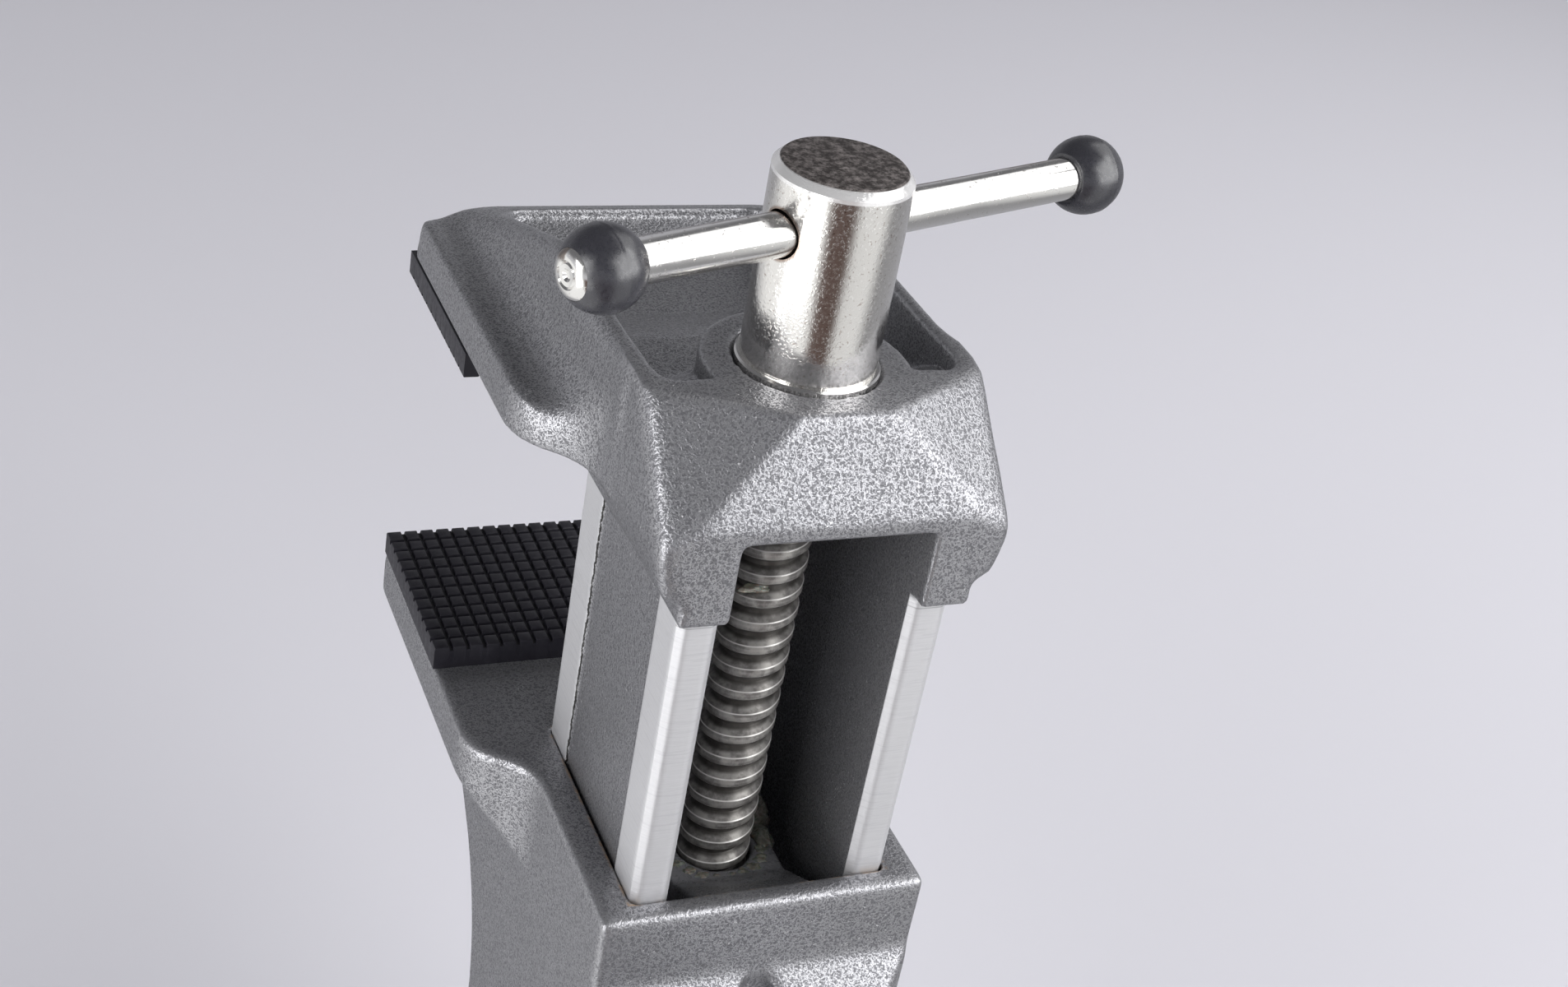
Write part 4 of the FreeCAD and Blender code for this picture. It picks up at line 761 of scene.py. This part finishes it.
# One turn of the thread, as shares of the pitch and radii in millimetres.
THREAD_LINE = ((0.00, ROOT), (0.08, 4.74), (0.15, 5.05), (0.335, 6.00), (0.352, 6.07), (0.37, 6.10),
               (0.50, 6.08), (0.63, 6.10), (0.648, 6.07), (0.665, 6.00), (0.85, 5.05), (0.92, 4.74))
HEAD_LOW = JAW_Z + 10 * MM
CHAMFER_LOW = JAW_Z + 51.1 * MM
END_LOW = JAW_Z + 52.7 * MM
BAR_TURN = math.radians(18)
BAR_HIGH = JAW_Z + 43.8 * MM
NICKEL, NICKEL_SPECK, NICKEL_EDGE = (0.80, 0.785, 0.76, 1), (0.93, 0.92, 0.90, 1), (0.95, 0.94, 0.93, 1)
BROWN_PIT, BROWN_HOLE = (0.36, 0.29, 0.25, 1), (0.30, 0.21, 0.16, 1)
OIL_DARK, OIL_PALE = (0.20, 0.19, 0.18, 1), (0.44, 0.425, 0.40, 1)
ROOT_DARK, CREST_HIGHLIGHT = (0.05, 0.045, 0.04, 1), (0.85, 0.83, 0.8, 1)
END_DARK, END_PALE = (0.03, 0.024, 0.022, 1), (0.3, 0.27, 0.26, 1)
# Where the looks change: up from a step's lower edge, out from the bar's or the screw's axis.
EDGE_FADE, HEAD_FADE, HOLE_OUT = 0.2 * MM, 2 * MM, (3.9 * MM, 4.4 * MM)
ROOT_DARK_OUT, CREST_IN, CREST_OUT = (5.2 * MM, 5.8 * MM), (5.88 * MM, 5.97 * MM), (6.04 * MM, 6.09 * MM)


def thread(around):
    """The thread's skin: rows follow the helix and are held between its two ends."""
    part_count = len(THREAD_LINE)
    rows = (int((THREAD_HIGH - THREAD_LOW) / PITCH) + 3) * part_count
    points, faces = [], []
    for row in range(rows):
        part, radius = THREAD_LINE[row % part_count]
        for step in range(around):
            turn = step / around
            z = THREAD_LOW + PITCH * (row // part_count + part - 1 + turn)
            fade = min(1.0, max(0.0, (z - THREAD_LOW) / THREAD_FADE))
            out_to = (radius if fade >= 1 else ROOT + (radius - ROOT) * fade) * MM
            angle = 2 * math.pi * turn
            points.append((out_to * math.cos(angle), AXIS_Y + out_to * math.sin(angle),
                           min(max(z, THREAD_LOW), THREAD_HIGH)))
    for row in range(rows - 1):
        start, above = row * around, (row + 1) * around
        for step in range(around - 1):
            faces.append((start + step, start + step + 1, above + step + 1, above + step))
        if row + 1 + part_count < rows:
            faces.append((start + around - 1, (row + part_count) * around,
                          (row + 1 + part_count) * around, above + around - 1))
    return points, faces


def screw():
    """The screw: its CAD form from the thread's end up, joined to the helical thread."""
    piece = copied("jaw_screw", "screw_head")
    shape = bmesh.new()
    shape.from_mesh(piece.data)
    bmesh.ops.bisect_plane(
        shape, geom=shape.verts[:] + shape.edges[:] + shape.faces[:], dist=1e-7,
        plane_co=(0, 0, THREAD_HIGH - THREAD_INTO), plane_no=(0, 0, -1), clear_outer=True)
    shape.to_mesh(piece.data)
    shape.free()
    broken(piece, 0.35 * MM)
    points, faces = thread(THREAD_STEPS)
    shape = bmesh.new()
    shape.from_mesh(piece.data)
    verts = [shape.verts.new(point) for point in points]
    for face in faces:
        shape.faces.new([verts[i] for i in face])
    bmesh.ops.remove_doubles(shape, verts=verts, dist=1e-7)
    shape.normal_update()
    shape.to_mesh(piece.data)
    shape.free()
    smooth(piece, 26)
    return piece


def behind_bar(tree, x, y):
    """How far a place lies behind the handle bar's axis."""
    over = sums(tree, "SUBTRACT", y, AXIS_Y)
    return sums(tree, "SUBTRACT", sums(tree, "MULTIPLY", over, math.cos(BAR_TURN)),
                sums(tree, "MULTIPLY", x, math.sin(BAR_TURN)))


def screw_material():
    made, tree = new_material("screw_nickel")
    x, y, z = coordinate(tree)
    head = between(tree, z, HEAD_LOW, HEAD_LOW + HEAD_FADE)
    end = between(tree, z, END_LOW, END_LOW + EDGE_FADE)
    chamfer = between(tree, z, CHAMFER_LOW, CHAMFER_LOW + EDGE_FADE)
    speck = grain(tree, 0.45 * MM, 2.0, 0.6)
    cloud = grain(tree, 6 * MM, 3.0, 0.6)
    plate = blended(tree, between(tree, speck, 0.55, 0.68, 0.0, 0.6), NICKEL, NICKEL_SPECK)
    plate = blended(tree, between(tree, grain(tree, 0.6 * MM, 2.0, 0.7), 0.6, 0.7, 0.0, 0.55), plate,
                    BROWN_PIT)
    from_bar = length(tree, sums(tree, "SUBTRACT", z, BAR_HIGH), behind_bar(tree, x, y))
    hole = between(tree, sums(tree, "ADD", from_bar, sums(tree, "MULTIPLY", cloud, 0.5 * MM)),
                   *HOLE_OUT, 0.8, 0.0)
    plate = blended(tree, hole, plate, BROWN_HOLE)
    plate = blended(tree, chamfer, plate, NICKEL_EDGE)
    reach = length(tree, x, sums(tree, "SUBTRACT", y, AXIS_Y))
    oily = blended(tree, between(tree, grain(tree, 2 * MM, 3.0, 0.6), 0.35, 0.65), OIL_DARK, OIL_PALE)
    # Darker towards the thread's root, in its groove.
    deep = between(tree, sums(tree, "ADD", reach, sums(tree, "MULTIPLY", cloud, 0.6 * MM)),
                   *ROOT_DARK_OUT, 0.85, 0.0)
    oily = blended(tree, deep, oily, ROOT_DARK)
    # The crests' thin bright line: partly polish from wear, partly a painted highlight.
    crest_highlight = sums(tree, "MULTIPLY", between(tree, reach, *CREST_IN),
                 between(tree, reach, *CREST_OUT, 1.0, 0.0))
    oily = blended(tree, crest_highlight, oily, CREST_HIGHLIGHT)
    rough_end = blended(tree, between(tree, grain(tree, 1.6 * MM, 6.0, 0.8), 0.4, 0.72), END_DARK, END_PALE)
    colour = blended(tree, end, blended(tree, head, oily, plate), rough_end)
    rough = mixed(tree, head, between(tree, cloud, 0.3, 0.7, 0.3, 0.48),
                  between(tree, speck, 0.35, 0.7, 0.15, 0.24))
    lathe_lines = grain(tree, 2 * MM, 3.0, 0.7, where=add(
        tree, "Mapping", Vector=here(tree), Scale=(1, 1, 16)).outputs[0])
    fine = sums(tree, "ADD", sums(tree, "MULTIPLY", between(tree, speck, 0.5, 0.7), head),
                sums(tree, "MULTIPLY", lathe_lines, sums(tree, "SUBTRACT", 1.0, head)))
    metal = between(tree, sums(tree, "SUBTRACT", head, sums(tree, "MULTIPLY", end, 0.5)), 0, 1, 0.55, 1.0)
    metal = sums(tree, "SUBTRACT", metal, sums(tree, "MULTIPLY", chamfer, 0.4))
    finish(tree, colour, mixed(tree, end, rough, 0.55), metal, fine, 0.022 * MM, 0.5)
    return made


stands_for(screw(), "screw", "screw_steel", screw_material(), "jaw_screw")


# Grease. Clear greenish smears round the nut's mouth, a lump pushed up beside it and a little
# caught in the thread. It is soft, half clear and wet.

GREASE_DARK, GREASE_PALE = (0.20, 0.20, 0.165, 1), (0.44, 0.43, 0.37, 1)
BOSS_Z = FACE_Z - 8.2 * MM
SMEARS, SMEAR_START, SMEAR_STEP, SMEAR_REACH = 9, 205, 17, 8.3
SMEAR_SIZE = (1.4, 1.2, 0.4)
# How fine and how high a lump's broad and small swellings are.
BROAD, SMALL = (1.3, 0.45), (3.5, 0.16)


def greasy_lump(name, middle, size, seed):
    """A soft uneven lump; middle and size are in millimetres from the nut's mouth."""
    shape = bmesh.new()
    bmesh.ops.create_icosphere(shape, subdivisions=4, radius=1.0)
    place = Vector((0, AXIS_Y, BOSS_Z)) + Vector(middle) * MM
    for vert in shape.verts:
        swell = noise.noise(vert.co * BROAD[0] + Vector((seed, 0, 0))) * BROAD[1]
        swell += noise.noise(vert.co * SMALL[0] + Vector((0, seed, 0))) * SMALL[1]
        vert.co = place + Vector([along * half * (1 + swell) * MM for along, half in zip(vert.co, size)])
    mesh = bpy.data.meshes.new(name)
    shape.to_mesh(mesh)
    shape.free()
    piece = put(name, mesh)
    smooth(piece)
    return piece


def grease_material():
    made, tree = new_material("grease")
    streaks = grain(tree, 1.2 * MM, 3.0, 0.6, 1.0)
    finish(tree, blended(tree, between(tree, streaks, 0.35, 0.7), GREASE_DARK, GREASE_PALE),
           between(tree, streaks, 0.3, 0.7, 0.06, 0.2), 0.0, streaks, 0.2 * MM, 0.8,
           Subsurface_Weight=0.3, Subsurface_Scale=0.002, Transmission_Weight=0.3)
    return made


grease = grease_material()
nut_grease = [greasy_lump("grease_lump", (8.9, 5.2, 1.2), (2.9, 2.4, 3.4), 3.0),
              greasy_lump("grease_heap", (9.0, 1.0, -0.4), (2.2, 3.6, 1.5), 7.0)]
for step in range(SMEARS):
    angle = math.radians(SMEAR_START + step * SMEAR_STEP)
    nut_grease.append(greasy_lump(
        f"grease_smear_{step}", (SMEAR_REACH * math.cos(angle), SMEAR_REACH * math.sin(angle), 0),
        SMEAR_SIZE, 11.0 + step))
for piece in nut_grease:
    stands_for(piece, "head", None, grease)
thread_grease = greasy_lump("thread_grease", (-3.2, -4.0, 55.4), (2.6, 1.1, 0.6), 5.0)
stands_for(thread_grease, "screw", None, grease)


# Handle. A plated steel bar that slides through the screw's head, with its ends peened over
# two black plastic knobs. The knobs show the fine seam of their mould.

KNOB = 6.1 * MM
KNOB_FLAT, KNOB_STEPS = 41.0, 44
SEAM_HIGH, SEAM_WIDE = 0.012, 1.3
BAR_MIDDLE = 6 * MM
BAR_HALF = 46 * MM
BAR_RADIUS, BAR_PLAIN, PEENED = 3.25, 20, 3.5
BAR_STEPS = 72
# The knob's neck and mouth, as radii and places from its middle, and the bar's peened end,
# as radii and places past its half length, all in millimetres.
KNOB_NECK, KNOB_MOUTH = ((3.28, -4.6), (3.9, -4.66)), ((3.52, 4.6), (3.3, 3.8))
BAR_END = ((0, 5.35), (0.5, 5.4), (0.9, 5.75), (1.5, 5.8), (1.75, 5.55), (2.0, 5.8), (2.6, 5.75),
           (3.2, 5.35), (PEENED, 4.95), (PEENED, 4.6), (BAR_RADIUS, 4.2))
CHROME, PAINTED_REFLECTION, PIT = (0.83, 0.82, 0.80, 1), (0.16, 0.12, 0.10, 1), (0.25, 0.22, 0.2, 1)
# The painted reflection, a dark brown band on the bar's upper back, starts this far behind the bar's axis,
# and this far above it.
REFLECTION_BACK, REFLECTION_UP = (0.8 * MM, 1.3 * MM), (1 * MM, 2 * MM)


def lathe(name, outline, reach, flip=1, around=64, angle=35):
    """A turned piece on the handle's axis. The outline runs from end to end, as radius and
    place along the bar; reach is how far its zero lies from the screw's axis."""
    way = Vector((math.cos(BAR_TURN), math.sin(BAR_TURN), 0))
    side = Vector((-math.sin(BAR_TURN), math.cos(BAR_TURN), 0))
    rise = Vector((0, 0, 1))
    middle = Vector((0, AXIS_Y, BAR_HIGH)) + way * reach
    points, faces, rows = [], [], []
    for radius, place_on in outline:
        centre = middle + way * (place_on * flip)
        if radius < 1e-9:
            rows.append([len(points)])
            points.append(centre)
            continue
        rows.append(list(range(len(points), len(points) + around)))
        for step in range(around):
            turn = 2 * math.pi * step / around
            points.append(centre + side * (radius * math.cos(turn)) + rise * (radius * math.sin(turn)))
    for low, high in zip(rows, rows[1:]):
        for step in range(around):
            other = (step + 1) % around
            if len(low) == 1:
                face = (low[0], high[other], high[step])
            elif len(high) == 1:
                face = (low[step], low[other], high[0])
            else:
                face = (low[step], low[other], high[other], high[step])
            faces.append(face if flip < 0 else tuple(reversed(face)))
    return built(name, points, faces, angle)


def bar_material():
    made, tree = new_material("bar_chrome")
    x, y, z = coordinate(tree)
    pits = between(tree, grain(tree, 0.6 * MM, 2.0, 0.6), 0.64, 0.7)
    band = grain(tree, 5 * MM, 3.0, 0.6)
    behind = sums(tree, "ADD", behind_bar(tree, x, y), sums(tree, "MULTIPLY", band, 0.6 * MM))
    # Painted reflection: a dark brown band along the bar's upper back, as chrome shows its surroundings.
    painted_reflection = sums(tree, "MULTIPLY", between(tree, behind, *REFLECTION_BACK, 0.0, 0.85),
                between(tree, sums(tree, "SUBTRACT", z, BAR_HIGH), *REFLECTION_UP))
    colour = blended(tree, sums(tree, "MULTIPLY", pits, 0.7), blended(tree, painted_reflection, CHROME, PAINTED_REFLECTION), PIT)
    rough = sums(tree, "ADD", between(tree, band, 0.3, 0.7, 0.12, 0.2), sums(tree, "MULTIPLY", pits, 0.3))
    finish(tree, colour, rough, 1.0, sums(tree, "ADD", band, pits), 0.04 * MM, 0.3)
    return made


def knob_outline(seam):
    """A knob from its neck to its mouth, in metres, with a fine seam at an angle from the neck."""
    mouth = 180 - math.degrees(math.asin(PEENED * MM / KNOB))
    curve = [(radius * MM, place_on * MM) for radius, place_on in KNOB_NECK]
    for step in range(KNOB_STEPS + 1):
        degrees = KNOB_FLAT + (mouth - KNOB_FLAT) * step / KNOB_STEPS
        radius = KNOB * (1 + SEAM_HIGH * math.exp(-((degrees - seam) / SEAM_WIDE) ** 2))
        angle = math.radians(degrees)
        curve.append((radius * math.sin(angle), -radius * math.cos(angle)))
    return curve + [(radius * MM, place_on * MM) for radius, place_on in KNOB_MOUTH]


bar_end = [(radius * MM, BAR_HALF + place_on * MM) for radius, place_on in BAR_END]
bar_outline = (bar_end + [(BAR_RADIUS * MM, BAR_PLAIN * MM), (BAR_RADIUS * MM, -BAR_PLAIN * MM)]
               + [(radius, -place_on) for radius, place_on in reversed(bar_end)])
stands_for(lathe("sliding_bar", bar_outline, BAR_MIDDLE, around=BAR_STEPS), "handle", "bar_chrome",
           bar_material(), "handle_bar")
for node, side, seam in (("handle_knob_left", -1, 90.0), ("handle_knob_right", 1, 101.0)):
    knob = lathe(node + "_moulded", knob_outline(seam), BAR_MIDDLE + side * BAR_HALF, side, angle=50)
    stands_for(knob, "handle", "knob_plastic", knob_plastic, node)
